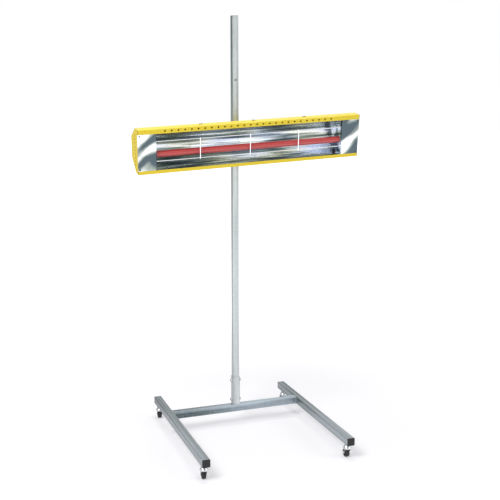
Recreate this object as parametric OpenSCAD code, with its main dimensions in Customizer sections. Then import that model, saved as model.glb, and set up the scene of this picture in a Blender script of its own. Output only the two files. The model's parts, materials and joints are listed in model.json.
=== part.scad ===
// Infrared curing lamp: a ruby quartz tube in a polished trough, on a wheeled stand.
// X runs along the crossbar, the lamp faces -Y, Z is up, the floor is z = 0.

/* [Stand] */
// Outer width of the square tubes of the base
base_tube = 35; // [30:1:45]
// Wall thickness of the base tubes
base_wall = 2; // [1.5:0.25:3]
// Outer corner radius of the base tubes
base_corner = 3; // [2:0.5:5]
// Length of each leg with its end caps
leg_len = 835; // [700:5:1000]
// Distance between the centre lines of the two legs
leg_track = 675; // [500:5:900]
// Distance from the rear end of a leg to the mast
mast_back = 235; // [150:5:350]
// Height of the square socket that holds the mast
socket_h = 143; // [100:1:200]
// Wall thickness of the socket
socket_wall = 2.25; // [1.5:0.25:3]
// Outer width of the square mast
mast_w = 30; // [25:1:35]
// Wall thickness of the mast
mast_wall = 2; // [1.5:0.25:3]
// Outer corner radius of the mast
mast_corner = 2.5; // [1.5:0.5:4]
// Height of the top of the stand above the floor
stand_h = 1970; // [1900:5:2200]
// Distance from the top of the stand down to the stop screw
stop_drop = 290; // [200:5:350]
// Thread size of the bolts that hold the mast
socket_bolt = 8; // [6:1:10]

/* [Casters] */
// Height from the floor to the underside of the legs
caster_h = 68; // [64:1:80]
// Diameter of a caster wheel
wheel_dia = 40; // [34:1:44]
// Width of a caster wheel
wheel_w = 18; // [14:1:22]
// Distance from the swivel axis back to the wheel's axle
trail = 10; // [6:1:14]
// Distance from a leg's end to its caster's swivel axis
caster_inset = 38; // [32:1:60]
// Thread size of the swivel stem
stem_dia = 10; // [8:1:12]
// Diameter of the wheel axle
axle_dia = 6; // [5:0.5:8]

/* [Carriage] */
// Height of the lamp's turning axis above the floor
turn_z = 1427; // [1300:1:1500]
// Outer width of the square sleeve that slides on the mast
sleeve_w = 40; // [38:1:50]
// Height of the sliding sleeve
sleeve_h = 90; // [70:1:120]
// Wall thickness of the sliding sleeve
sleeve_wall = 3; // [2:0.25:3.5]
// Thickness of the plate in front of the sleeve
plate_t = 5; // [3:0.5:8]
// Width and height of the plate in front of the sleeve
plate_w = 60; // [50:1:70]
// Diameter of the turning stud
turn_dia = 10; // [8:1:12]
// Thread size of the height clamp screw
clamp_dia = 8; // [6:1:10]
// Diameter of the three clamping knobs
knob_dia = 42; // [36:1:48]
// Length of a clamping knob
knob_h = 18; // [14:1:22]

/* [Yoke] */
// Distance from the mast's centre forward to the tilting axis
tilt_reach = 96; // [90:1:120]
// Thickness of the yoke's steel
yoke_t = 3; // [2:0.5:5]
// Radius of the round ends of the yoke and of the head's bracket
ear_r = 16; // [14:1:20]
// Outer width of the bracket on the head
bracket_w = 90; // [80:1:110]
// Height of the bracket's base on the head
bracket_h = 60; // [50:1:70]
// Distance from the back of the head to the tilting axis
pivot_gap = 35; // [30:1:40]
// Thread size of the tilting screws
tilt_dia = 8; // [6:1:10]
// How far the lamp leans down from level, in degrees
tilt_rest = 12.2; // [0:0.1:30]
// How far the lamp's right end is turned up, in degrees
turn_rest = 3.3; // [0:0.1:10]

/* [Lamp head] */
// Length of the head
head_len = 1045; // [900:5:1200]
// Height of the head's face
head_h = 196; // [180:1:220]
// Depth of the head from face to back
head_depth = 115; // [100:1:125]
// Depth of the level top and bottom walls in front of the slopes
wall_depth = 45; // [35:1:60]
// Height of the flat back of the head
back_h = 92; // [90:1:110]
// Sheet thickness of the housing
sheet = 1.5; // [1:0.1:2]
// Height of the upper lip of the face
top_lip = 20; // [16:0.5:26]
// Height of the lower lip of the face
bottom_lip = 15; // [10:0.5:20]
// Diameter of the vent holes in the upper lip
vent_dia = 8; // [5:0.5:10]
// Distance between the vent holes in the upper lip
vent_pitch = 30; // [20:1:40]
// Number of vent holes in the upper lip
vent_count = 27; // [10:1:27]
// Distance from the middle of the head to the middle of the row of vents
vent_shift = 12; // [0:1:20]
// Diameter of the vent holes in the end walls
side_vent_dia = 8; // [5:0.5:9]
// Distance between the vent holes in the end walls
side_vent_pitch = 16.5; // [12:0.5:17]
// Number of vent holes in each end wall
side_vent_count = 9; // [3:2:9]
// Depth of the vent holes in the end walls behind the face
side_vent_depth = 50; // [42:1:54]

/* [Reflector] */
// Thickness of the reflector sheets
mirror_t = 1; // [0.8:0.1:1.5]
// Depth of the trough's bottom behind the face
trough_depth = 92; // [80:1:96]
// Width of the flat mirror panel at each end
panel_w = 83; // [70:1:100]
// Radius of the rolled inner edge of an end panel
panel_roll = 8; // [5:0.5:12]
// Diameter of the ruby quartz tube
tube_dia = 30; // [20:1:32]
// Wall thickness of the quartz tube
tube_wall = 1.5; // [1:0.25:2]
// Depth of the tube's axis behind the face
tube_depth = 34; // [32:1:42]
// Distance of the tube's axis below the middle of the head
tube_drop = 20; // [0:1:24]
// Diameter of the guard wires
wire_dia = 4; // [3:0.5:5]
// Distance between the two long guard wires
guard_w = 88; // [80:1:100]
// Distance between the cross wires of the guard
cross_pitch = 233; // [180:1:260]
// Distance between the reflector brackets
bridge_pitch = 245; // [180:1:260]

/* [Connection box] */
// Length of the cover over the terminals
cover_len = 120; // [100:1:140]
// Height of the cover over the terminals
cover_h = 56; // [50:1:66]
// Depth of the cover over the terminals
cover_depth = 36; // [32:1:40]
// Distance from the middle of the head to the middle of the cover
cover_x = 190; // [160:1:240]
// Diameter of the cable bore in the gland
gland_bore = 9; // [7:0.5:10]

/* [Hidden] */

// One overrun serves all cuts
over = 1;
// Faces that move past each other stay this far apart
run_gap = 0.2;
// Radial play of a shaft that turns in its hole
play = 0.05;
// Radial play of a screw in a drilled hole
drill_play = 0.15;
// Facets of round shapes, which are true circles
round_fn = 48;
small_fn = 24;

// Places that follow from the driving sizes
leg_x = leg_track / 2;
leg_front = -leg_len / 2;
leg_top = caster_h + base_tube;
mast_y = leg_len / 2 - mast_back;
socket_top = leg_top + socket_h;
socket_play = 0.25;
socket_w = mast_w + 2 * socket_play + 2 * socket_wall;
cap_t = 3;
cap_depth = 12;
cap_play = 0.2;
mast_cap_t = 2;
mast_cap_h = 14;
mast_top = stand_h - mast_cap_t;
stop_z = stand_h - stop_drop;
bolt_low = 25;
bolt_high = socket_h - 20;

// Sizes of a hexagon screw follow its thread
hex_share = 1.625;
head_share = 0.66;
nut_share = 0.8;
washer_share = 2;
washer_t = 1.5;

module rounded_square(side, corner) {
    square([side - 2 * corner, side], center = true);
    square([side, side - 2 * corner], center = true);
    for (sx = [-1, 1], sy = [-1, 1])
        translate([sx * (side / 2 - corner), sy * (side / 2 - corner)])
            circle(r = corner, $fn = small_fn);
}

module tube_section(side, wall, corner) {
    difference() {
        rounded_square(side, corner);
        square(side - 2 * wall, center = true);
    }
}

module hex_prism(across_flats, h) {
    cylinder(d = across_flats / cos(30), h = h, $fn = 6);
}

module hex_nut(thread, h, play_r) {
    difference() {
        hex_prism(hex_share * thread, h);
        translate([0, 0, -over])
            cylinder(d = thread + 2 * play_r, h = h + 2 * over, $fn = round_fn);
    }
}

// A knob with round lobes, standing on z = 0
lobe_count = 6;
lobe_share = 0.16;
hub_share = 0.8;
module lobed_knob(dia, h) {
    lobe_r = dia * lobe_share;
    linear_extrude(h)
        union() {
            circle(d = dia * hub_share, $fn = round_fn);
            for (i = [0 : lobe_count - 1])
                rotate(i * 360 / lobe_count)
                    translate([dia / 2 - lobe_r, 0])
                        circle(r = lobe_r, $fn = small_fn);
        }
}

// Legs: square steel tubes that run front to back
module leg(side) {
    tube_len = leg_len - 2 * cap_t;
    color([0.72, 0.74, 0.75])
        difference() {
            translate([side * leg_x, leg_front + cap_t, caster_h + base_tube / 2])
                rotate([-90, 0, 0])
                    linear_extrude(tube_len)
                        tube_section(base_tube, base_wall, base_corner);
            for (end = [-1, 1])
                translate([side * leg_x, end * (leg_len / 2 - caster_inset), caster_h - over])
                    cylinder(d = stem_dia + 2 * drill_play, h = base_wall + 2 * over, $fn = round_fn);
        }
}
module left_leg() { leg(-1); }
module right_leg() { leg(1); }

module cross_bar() {
    bar_len = leg_track - base_tube;
    color([0.72, 0.74, 0.75])
        translate([-bar_len / 2, mast_y, caster_h + base_tube / 2])
            rotate([90, 0, 90])
                linear_extrude(bar_len)
                    tube_section(base_tube, base_wall, base_corner);
}

// Plastic plugs in the four open ends of the legs
module leg_cap() {
    plug_w = base_tube - 2 * base_wall - 2 * cap_play;
    rotate([90, 0, 0])
        linear_extrude(cap_t)
            rounded_square(base_tube, base_corner);
    translate([-plug_w / 2, 0, -plug_w / 2])
        cube([plug_w, cap_depth, plug_w]);
}
module leg_caps() {
    color([0.13, 0.14, 0.15])
        for (side = [-1, 1], end = [0, 1])
            translate([side * leg_x, 0, caster_h + base_tube / 2])
                rotate(180 * end)
                    translate([0, leg_front + cap_t, 0])
                        leg_cap();
}

// Cross holes for the two socket bolts
module socket_holes(width) {
    for (z = [bolt_low, bolt_high])
        translate([-width / 2 - over, mast_y, leg_top + z])
            rotate([0, 90, 0])
                cylinder(d = socket_bolt + 2 * drill_play, h = width + 2 * over, $fn = round_fn);
}

module mast_socket() {
    color([0.75, 0.77, 0.78])
        difference() {
            translate([0, mast_y, leg_top])
                linear_extrude(socket_h)
                    difference() {
                        rounded_square(socket_w, base_corner);
                        square(mast_w + 2 * socket_play, center = true);
                    }
            socket_holes(socket_w);
        }
}

module socket_bolts() {
    shank = socket_w + 2 * washer_t + nut_share * socket_bolt + over;
    color([0.5, 0.51, 0.52])
        for (z = [bolt_low, bolt_high])
            translate([socket_w / 2, mast_y, leg_top + z])
                rotate([0, 90, 0]) {
                    cylinder(d = washer_share * socket_bolt, h = washer_t, $fn = round_fn);
                    translate([0, 0, washer_t])
                        hex_prism(hex_share * socket_bolt, head_share * socket_bolt);
                    translate([0, 0, washer_t - shank])
                        cylinder(d = socket_bolt, h = shank, $fn = round_fn);
                }
}

module socket_nuts() {
    color([0.8, 0.81, 0.82])
        for (z = [bolt_low, bolt_high])
            translate([-socket_w / 2, mast_y, leg_top + z])
                rotate([0, -90, 0])
                    difference() {
                        union() {
                            cylinder(d = washer_share * socket_bolt, h = washer_t, $fn = round_fn);
                            translate([0, 0, washer_t])
                                hex_prism(hex_share * socket_bolt, nut_share * socket_bolt);
                        }
                        translate([0, 0, -over])
                            cylinder(d = socket_bolt + 2 * play,
                                     h = washer_t + nut_share * socket_bolt + 2 * over, $fn = round_fn);
                    }
}

// The mast stands on the crossbar inside the socket
stop_dia = 6;
module mast() {
    color([0.76, 0.78, 0.79])
        difference() {
            translate([0, mast_y, leg_top])
                linear_extrude(mast_top - leg_top)
                    tube_section(mast_w, mast_wall, mast_corner);
            socket_holes(mast_w);
            translate([0, mast_y - mast_w / 2 - over, stop_z])
                rotate([-90, 0, 0])
                    cylinder(d = stop_dia + 2 * drill_play, h = mast_wall + 2 * over, $fn = round_fn);
        }
}

// Grey plug in the open top of the mast, flush with its sides
module mast_cap() {
    plug_w = mast_w - 2 * mast_wall - 2 * cap_play;
    color([0.76, 0.77, 0.78])
        translate([0, mast_y, stand_h]) {
            translate([0, 0, -mast_cap_t])
                linear_extrude(mast_cap_t)
                    rounded_square(mast_w, mast_corner);
            translate([-plug_w / 2, -plug_w / 2, -mast_cap_h])
                cube([plug_w, plug_w, mast_cap_h]);
        }
}

// Round-headed screw that keeps the carriage on the mast
stop_head_share = 2;
stop_head_h = 5;
module stop_screw() {
    nut_t = nut_share * stop_dia;
    color([0.2, 0.2, 0.21])
        translate([0, mast_y - mast_w / 2, stop_z])
            rotate([90, 0, 0]) {
                cylinder(d = stop_head_share * stop_dia, h = stop_head_h, $fn = round_fn);
                translate([0, 0, -mast_wall - nut_t])
                    cylinder(d = stop_dia, h = mast_wall + nut_t + over, $fn = round_fn);
                translate([0, 0, -mast_wall - nut_t])
                    hex_prism(hex_share * stop_dia, nut_t);
            }
}

// Casters: each hangs below a leg on a threaded stem
crown_gap = 3;
crown_t = 3;
dome_share = 0.62;
race_h = 4;
stem_hex_h = 6;
swivel_gap = 0.3;
fork_t = 2;
fork_side_gap = 1;
crown_r = wheel_dia / 2 - fork_side_gap;
crown_z = wheel_dia + crown_gap;
race_z = caster_h - stem_hex_h - race_h;
dome_h = race_z - swivel_gap - crown_z - crown_t;
axle_z = wheel_dia / 2;
// The stem's lower end is riveted over below the fork's crown
rivet_share = 0.75;
stem_rivet_h = crown_gap - swivel_gap - fork_side_gap;
rivet_z = crown_z - swivel_gap - stem_rivet_h;
fork_in = wheel_w / 2 + fork_side_gap;
fork_eye = axle_dia + fork_t;
tab_share = 0.7;
// Turning of each caster at rest, in degrees: front left, front right, rear left, rear right
caster_angles = [-9, 0, -6, 5];

module at_caster(i) {
    side = i % 2 == 0 ? -1 : 1;
    end = i < 2 ? -1 : 1;
    translate([side * leg_x, end * (leg_len / 2 - caster_inset), 0])
        rotate(caster_angles[i])
            children();
}

module caster_stems() {
    color([0.82, 0.83, 0.84])
        for (i = [0 : 3])
            at_caster(i) {
                translate([0, 0, rivet_z])
                    cylinder(r = stem_dia * rivet_share, h = stem_rivet_h, $fn = round_fn);
                translate([0, 0, rivet_z])
                    cylinder(d = stem_dia, h = caster_h - rivet_z + base_wall
                             + nut_share * stem_dia + over, $fn = round_fn);
                translate([0, 0, race_z])
                    cylinder(r1 = crown_r * tab_share, r2 = stem_dia, h = race_h, $fn = round_fn);
                translate([0, 0, race_z + race_h])
                    hex_prism(hex_share * stem_dia, stem_hex_h);
            }
}

module caster_nuts() {
    color([0.8, 0.81, 0.82])
        for (i = [0 : 3])
            at_caster(i)
                translate([0, 0, caster_h + base_wall])
                    hex_nut(stem_dia, nut_share * stem_dia, play);
}

module fork(i) {
    leg_w = 2 * crown_r * tab_share;
    color([0.8, 0.81, 0.83])
        at_caster(i)
            difference() {
                union() {
                    translate([0, 0, crown_z])
                        cylinder(r = crown_r, h = crown_t, $fn = round_fn);
                    translate([0, 0, crown_z + crown_t])
                        cylinder(r1 = crown_r, r2 = crown_r * dome_share, h = dome_h, $fn = round_fn);
                    for (side = [-1, 1])
                        translate([side * (fork_in + fork_t / 2) - fork_t / 2, 0, 0])
                            rotate([90, 0, 90])
                                linear_extrude(fork_t)
                                    union() {
                                        polygon([
                                            [-leg_w / 2, crown_z + crown_t / 2],
                                            [leg_w / 2, crown_z + crown_t / 2],
                                            [trail + fork_eye, axle_z],
                                            [trail - fork_eye, axle_z]
                                        ]);
                                        translate([trail, axle_z])
                                            circle(r = fork_eye, $fn = round_fn);
                                    }
                }
                translate([0, 0, crown_z - over])
                    cylinder(d = stem_dia + 2 * play, h = crown_t + dome_h + 2 * over, $fn = round_fn);
                translate([-fork_in - fork_t - over, trail, axle_z])
                    rotate([0, 90, 0])
                        cylinder(d = axle_dia + 2 * play, h = 2 * (fork_in + fork_t + over), $fn = round_fn);
            }
}
module front_left_fork() { fork(0); }
module front_right_fork() { fork(1); }
module rear_left_fork() { fork(2); }
module rear_right_fork() { fork(3); }

axle_head_t = 2;
module axle(i) {
    half = fork_in + fork_t;
    color([0.7, 0.71, 0.72])
        at_caster(i)
            translate([0, trail, axle_z])
                rotate([0, 90, 0]) {
                    translate([0, 0, -half])
                        cylinder(d = axle_dia, h = 2 * half, $fn = round_fn);
                    for (side = [0, 1])
                        mirror([0, 0, side])
                            translate([0, 0, half])
                                cylinder(d = hex_share * axle_dia, h = axle_head_t, $fn = round_fn);
                }
}
module front_left_axle() { axle(0); }
module front_right_axle() { axle(1); }
module rear_left_axle() { axle(2); }
module rear_right_axle() { axle(3); }

tread_edge = 2;
module wheel(i) {
    r = wheel_dia / 2;
    bore = axle_dia / 2 + play;
    hub = axle_dia;
    dish = wheel_w / 6;
    color([0.1, 0.1, 0.11])
        at_caster(i)
            translate([0, trail, axle_z])
                rotate([0, 90, 0])
                    rotate_extrude($fn = round_fn)
                        polygon([
                            [bore, -wheel_w / 2],
                            [hub, -wheel_w / 2],
                            [hub, dish - wheel_w / 2],
                            [r - 2 * tread_edge, dish - wheel_w / 2],
                            [r - 2 * tread_edge, -wheel_w / 2],
                            [r - tread_edge, -wheel_w / 2],
                            [r, tread_edge - wheel_w / 2],
                            [r, wheel_w / 2 - tread_edge],
                            [r - tread_edge, wheel_w / 2],
                            [r - 2 * tread_edge, wheel_w / 2],
                            [r - 2 * tread_edge, wheel_w / 2 - dish],
                            [hub, wheel_w / 2 - dish],
                            [hub, wheel_w / 2],
                            [bore, wheel_w / 2]
                        ]);
}
module front_left_wheel() { wheel(0); }
module front_right_wheel() { wheel(1); }
module rear_left_wheel() { wheel(2); }
module rear_right_wheel() { wheel(3); }

// Carriage: a square sleeve on the mast, with a plate in front and a nut boss behind
boss_dia = 2.2 * clamp_dia;
boss_len = 10;
liner_h = 25;
liner_flange = 2;
sleeve_in = sleeve_w - 2 * sleeve_wall;

module at_carriage() {
    translate([0, mast_y, turn_z])
        children();
}

module carriage() {
    color([0.7, 0.72, 0.73])
        at_carriage()
            difference() {
                union() {
                    translate([0, 0, -sleeve_h / 2])
                        linear_extrude(sleeve_h)
                            tube_section(sleeve_w, sleeve_wall, base_corner);
                    translate([-plate_w / 2, -sleeve_w / 2 - plate_t, -plate_w / 2])
                        cube([plate_w, plate_t, plate_w]);
                    translate([0, sleeve_w / 2, 0])
                        rotate([-90, 0, 0])
                            cylinder(d = boss_dia, h = boss_len, $fn = round_fn);
                }
                translate([0, sleeve_in / 2 - over, 0])
                    rotate([-90, 0, 0])
                        cylinder(d = clamp_dia + 2 * play, h = sleeve_wall + boss_len + 2 * over,
                                 $fn = round_fn);
            }
}

// Two plastic liners line the sleeve's ends and slide on the mast
module carriage_liners() {
    liner_out = sleeve_in - 2 * play;
    color([0.12, 0.12, 0.13])
        at_carriage()
            for (flip = [0, 1])
                mirror([0, 0, flip])
                    difference() {
                        union() {
                            translate([-liner_out / 2, -liner_out / 2, sleeve_h / 2 - liner_h])
                                cube([liner_out, liner_out, liner_h]);
                            translate([0, 0, sleeve_h / 2])
                                linear_extrude(liner_flange)
                                    rounded_square(sleeve_w, base_corner);
                        }
                        translate([0, 0, sleeve_h / 2 - liner_h - over])
                            linear_extrude(liner_h + liner_flange + 2 * over)
                                square(mast_w + 2 * run_gap, center = true);
                    }
}

// Turning stud, welded to the middle of the plate
plate_front = -sleeve_w / 2 - plate_t;
yoke_back = plate_front - washer_t - run_gap;
yoke_front = yoke_back - yoke_t;
knob_bore_depth = knob_h - 4;
turn_knob_back = yoke_front - run_gap;
module turn_stud() {
    color([0.78, 0.79, 0.8])
        at_carriage()
            translate([0, plate_front, 0])
                rotate([90, 0, 0])
                    cylinder(d = turn_dia, h = plate_front - turn_knob_back + knob_bore_depth - over,
                             $fn = round_fn);
}

module turn_washer() {
    color([0.15, 0.15, 0.15])
        at_carriage()
            translate([0, plate_front, 0])
                rotate([90, 0, 0])
                    difference() {
                        cylinder(d = plate_w - washer_t, h = washer_t, $fn = round_fn);
                        translate([0, 0, -over])
                            cylinder(d = turn_dia + 2 * play, h = washer_t + 2 * over, $fn = round_fn);
                    }
}

// Height clamp: a screw through the boss, whose tip presses on the mast
tip_gap = 0.3;
knob_gap = 2;
module clamp_screw() {
    tip = mast_w / 2 + tip_gap;
    color([0.7, 0.71, 0.72])
        at_carriage()
            translate([0, tip, 0])
                rotate([-90, 0, 0])
                    cylinder(d = clamp_dia, h = sleeve_w / 2 + boss_len + knob_gap - tip, $fn = round_fn);
}
module clamp_knob() {
    color([0.12, 0.12, 0.13])
        at_carriage()
            translate([0, sleeve_w / 2 + boss_len + knob_gap, 0])
                rotate([-90, 0, 0])
                    lobed_knob(knob_dia, knob_h);
}

// The yoke turns on the stud, so it and the head lie turned at rest
module on_yoke() {
    at_carriage()
        rotate([0, -turn_rest, 0])
            children();
}

module turn_knob() {
    color([0.12, 0.12, 0.13])
        on_yoke()
            translate([0, turn_knob_back, 0])
                rotate([90, 0, 0])
                    difference() {
                        lobed_knob(knob_dia, knob_h);
                        translate([0, 0, -over])
                            cylinder(d = turn_dia + 2 * play, h = knob_bore_depth + over, $fn = round_fn);
                    }
}

yoke_in = bracket_w / 2 + washer_t + run_gap;
yoke_out = yoke_in + yoke_t;
// Side plate with a round end about the tilting axis, drawn depth by height
module ear_outline(reach) {
    difference() {
        union() {
            translate([0, -ear_r])
                square([reach, 2 * ear_r]);
            circle(r = ear_r, $fn = round_fn);
        }
        circle(d = tilt_dia + 2 * play, $fn = round_fn);
    }
}

module yoke() {
    reach = tilt_reach + yoke_back;
    color([0.7, 0.72, 0.73])
        on_yoke()
            difference() {
                union() {
                    translate([-yoke_out, yoke_front, -ear_r])
                        cube([2 * yoke_out, yoke_t, 2 * ear_r]);
                    for (side = [-1, 1])
                        translate([side * (yoke_in + yoke_t / 2) - yoke_t / 2, -tilt_reach, 0])
                            rotate([90, 0, 90])
                                linear_extrude(yoke_t)
                                    ear_outline(reach);
                }
                translate([0, yoke_back + over, 0])
                    rotate([90, 0, 0])
                        cylinder(d = turn_dia + 2 * play, h = yoke_t + 2 * over, $fn = round_fn);
            }
}

// Tilting axis: a bolt on the left, a knob's screw on the right, a nut inside each ear
module on_tilt_axis(side) {
    on_yoke()
        translate([0, -tilt_reach, 0])
            rotate([0, 90 * side, 0])
                children();
}
bracket_t = 3;
tilt_nut_h = nut_share * tilt_dia;
tilt_nut_out = bracket_w / 2 - bracket_t - run_gap;
tilt_screw_in = tilt_nut_out - tilt_nut_h - over;
module tilt_bolt() {
    color([0.75, 0.76, 0.77])
        on_tilt_axis(-1) {
            translate([0, 0, tilt_screw_in])
                cylinder(d = tilt_dia, h = yoke_out - tilt_screw_in, $fn = round_fn);
            translate([0, 0, yoke_out])
                cylinder(d = washer_share * tilt_dia, h = washer_t, $fn = round_fn);
            translate([0, 0, yoke_out + washer_t])
                hex_prism(hex_share * tilt_dia, head_share * tilt_dia);
        }
}
module tilt_nuts() {
    color([0.8, 0.81, 0.82])
        for (side = [-1, 1])
            on_tilt_axis(side)
                translate([0, 0, tilt_nut_out - tilt_nut_h])
                    hex_nut(tilt_dia, tilt_nut_h, play);
}
module tilt_screw() {
    color([0.7, 0.71, 0.72])
        on_tilt_axis(1)
            translate([0, 0, tilt_screw_in])
                cylinder(d = tilt_dia, h = yoke_out + run_gap - tilt_screw_in, $fn = round_fn);
}
module tilt_knob() {
    color([0.12, 0.12, 0.13])
        on_tilt_axis(1)
            translate([0, 0, yoke_out + run_gap])
                lobed_knob(knob_dia, knob_h);
}
module tilt_washers() {
    color([0.15, 0.15, 0.15])
        for (side = [-1, 1])
            on_tilt_axis(side)
                translate([0, 0, bracket_w / 2])
                    difference() {
                        cylinder(r = ear_r - washer_t, h = washer_t, $fn = round_fn);
                        translate([0, 0, -over])
                            cylinder(d = tilt_dia + 2 * play, h = washer_t + 2 * over, $fn = round_fn);
                    }
}

// Head: x along it, y from the face backwards, z up, tilted about the tilting axis
module on_head() {
    on_yoke()
        translate([0, -tilt_reach, 0])
            rotate([tilt_rest, 0, 0])
                translate([0, -pivot_gap - head_depth, 0])
                    children();
}

// Draws a depth by height outline and extrudes it along the head from x0 to x1
module along_head(x0, x1) {
    translate([x0, 0, 0])
        rotate([90, 0, 90])
            linear_extrude(x1 - x0)
                children();
}

half_len = head_len / 2;
half_h = head_h / 2;
slope_angle = atan2(half_h - back_h / 2, head_depth - wall_depth);
wall_bend = sheet * tan(slope_angle / 2);
back_bend = sheet * tan((90 - slope_angle) / 2);
open_top = half_h - top_lip;
open_bottom = -half_h + bottom_lip;
open_mid = (open_top + open_bottom) / 2;
open_half = (open_top - open_bottom) / 2;

module head_outline() {
    polygon([
        [0, -half_h], [wall_depth, -half_h], [head_depth, -back_h / 2],
        [head_depth, back_h / 2], [wall_depth, half_h], [0, half_h]
    ]);
}
module head_cavity() {
    inner_h = half_h - sheet;
    inner_back = back_h / 2 - back_bend;
    polygon([
        [sheet, -inner_h], [wall_depth - wall_bend, -inner_h], [head_depth - sheet, -inner_back],
        [head_depth - sheet, inner_back], [wall_depth - wall_bend, inner_h], [sheet, inner_h]
    ]);
}

// Fixings of the housing: each place is a hole, and a screw or rivet goes through it
screw_dia = 4;
screw_head = 7.5;
screw_head_h = 2.4;
rivet_dia = 4;
rivet_head = 8;
rivet_head_h = 1.6;
rivet_tail = 5.5;
rivet_tail_h = 2.5;
tab_len = 14;
tab_w = 24;
tab_y = wall_depth / 2;
bridge_x = [for (i = [-1 : 1]) i * bridge_pitch];
bridge_t = 1.5;
bridge_tab = 18;
bridge_screw_y = wall_depth - 10;
bracket_hole_x = bracket_w / 3;
bracket_hole_z = bracket_h * 0.3;
flange_w = 12;
cover_sheet = 1.5;
cover_screw_x = [for (side = [-1, 1]) cover_x + side * (cover_len + flange_w) / 2];
lead_hole = 9;
lead_hole_x = cover_x - cover_len / 4;

// A hole or a fixing through the top wall, or the bottom wall when side is -1
module on_wall(side, x, y) {
    translate([x, y, side * half_h])
        rotate([side > 0 ? 0 : 180, 0, 0])
            children();
}
// The same on the back of the head
module on_back(x, z) {
    translate([x, head_depth, z])
        rotate([-90, 0, 0])
            children();
}
module drill(dia, depth) {
    translate([0, 0, -depth - over])
        cylinder(d = dia, h = depth + 2 * over, $fn = small_fn);
}
module wall_fixing_holes() {
    deep = 2 * sheet;
    for (side = [-1, 1]) {
        for (end = [-1, 1])
            on_wall(side, end * (half_len - sheet - tab_len / 2), tab_y)
                drill(rivet_dia + 2 * drill_play, deep);
        for (x = bridge_x)
            on_wall(side, x + bridge_tab / 2, bridge_screw_y)
                drill(screw_dia + 2 * drill_play, deep);
        for (x = bridge_x)
            on_wall(side, x + bridge_tab, bridge_screw_y)
                drill(screw_dia + 2 * drill_play, deep);
    }
}

// Folded sheet: face lips, top and bottom walls, slopes and back
module housing() {
    color([0.95, 0.82, 0.13])
        on_head()
            difference() {
                along_head(sheet - half_len, half_len - sheet)
                    difference() {
                        head_outline();
                        head_cavity();
                        translate([-over, open_bottom])
                            square([sheet + 2 * over, open_top - open_bottom]);
                    }
                for (i = [0 : vent_count - 1])
                    translate([(i - (vent_count - 1) / 2) * vent_pitch - vent_shift, -over,
                               half_h - top_lip / 2])
                        rotate([-90, 0, 0])
                            cylinder(d = vent_dia, h = sheet + 2 * over, $fn = small_fn);
                wall_fixing_holes();
                for (sx = [-1, 1], sz = [-1, 1])
                    on_back(sx * bracket_hole_x, sz * bracket_hole_z)
                        drill(rivet_dia + 2 * drill_play, sheet);
                for (x = cover_screw_x)
                    on_back(x, 0)
                        drill(screw_dia + 2 * drill_play, sheet);
                on_back(lead_hole_x, 0)
                    drill(lead_hole, sheet);
            }
}

// End walls with a row of vents, two tabs under the walls, a flange behind the mirror panel
// and a notch in the front edge that the panel lies in
panel_screw_x = half_len - sheet - tab_len / 2;
panel_screw_z = [open_bottom + tab_len / 2, open_top - tab_len / 2];
panel_low = 2 * sheet - half_h;
panel_high = half_h - 2 * sheet;
module end_plate(side) {
    color([0.93, 0.8, 0.14])
        on_head()
            mirror([side < 0 ? 1 : 0, 0, 0])
                difference() {
                    union() {
                        along_head(half_len - sheet, half_len)
                            head_outline();
                        for (flip = [-1, 1])
                            translate([half_len - sheet - tab_len, tab_y - tab_w / 2,
                                       flip * (half_h - 1.5 * sheet) - sheet / 2])
                                cube([tab_len + sheet / 2, tab_w, sheet]);
                        translate([half_len - sheet - tab_len, sheet + mirror_t, open_bottom])
                            cube([tab_len + sheet / 2, sheet, open_top - open_bottom]);
                    }
                    translate([half_len - sheet - over, sheet, panel_low])
                        cube([sheet + 2 * over, mirror_t, panel_high - panel_low]);
                    translate([half_len - sheet - over, -over, open_bottom])
                        cube([sheet + 2 * over, sheet + mirror_t, open_top - open_bottom]);
                    for (i = [0 : side_vent_count - 1])
                        translate([half_len - sheet - over, side_vent_depth,
                                   (i - (side_vent_count - 1) / 2) * side_vent_pitch])
                            rotate([0, 90, 0])
                                cylinder(d = side_vent_dia, h = sheet + 2 * over, $fn = small_fn);
                    for (flip = [-1, 1])
                        on_wall(flip, half_len - sheet - tab_len / 2, tab_y)
                            drill(rivet_dia + 2 * drill_play, 2 * sheet);
                    for (z = panel_screw_z)
                        translate([panel_screw_x, sheet, z])
                            rotate([-90, 0, 0])
                                cylinder(d = screw_dia + 2 * drill_play, h = 2 * sheet + mirror_t,
                                         $fn = small_fn);
                }
}
module left_end_plate() { end_plate(-1); }
module right_end_plate() { end_plate(1); }

// A closed blind rivet through a stack of sheets that is grip thick, its head on z = 0
module rivet(grip) {
    cylinder(d1 = rivet_head, d2 = rivet_dia, h = rivet_head_h, $fn = small_fn);
    translate([0, 0, -grip - over])
        cylinder(d = rivet_dia, h = grip + 2 * over, $fn = small_fn);
    translate([0, 0, -grip - rivet_tail_h])
        cylinder(d = rivet_tail, h = rivet_tail_h, $fn = small_fn);
}
module end_rivets() {
    color([0.75, 0.75, 0.75])
        on_head()
            for (side = [-1, 1], end = [-1, 1])
                on_wall(side, end * (half_len - sheet - tab_len / 2), tab_y)
                    rivet(2 * sheet);
}

// Trough: a parabola of flat strips, with an edge tucked behind each lip
facets = 14;
trough_front = sheet;
edge_w = 4;
trough_half = open_half + mirror_t;
trough_len = trough_depth - trough_front;
// Depth and height of the mirror's front side, for a share s from -1 to 1 across the trough
function mirror_point(s) = [trough_front + trough_len * (1 - s * s), open_mid + trough_half * s];
// Unit direction away from the tube, across the sheet
function mirror_normal(s) =
    let (along = [-2 * trough_len * s, trough_half])
    [along[1], -along[0]] / norm(along);
function mirror_line(offset) = [
    for (i = [-facets / 2 : facets / 2])
        let (s = 2 * i / facets)
        mirror_point(s) + offset * mirror_normal(s)
];
function reversed(list) = [for (i = [len(list) - 1 : -1 : 0]) list[i]];

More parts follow.
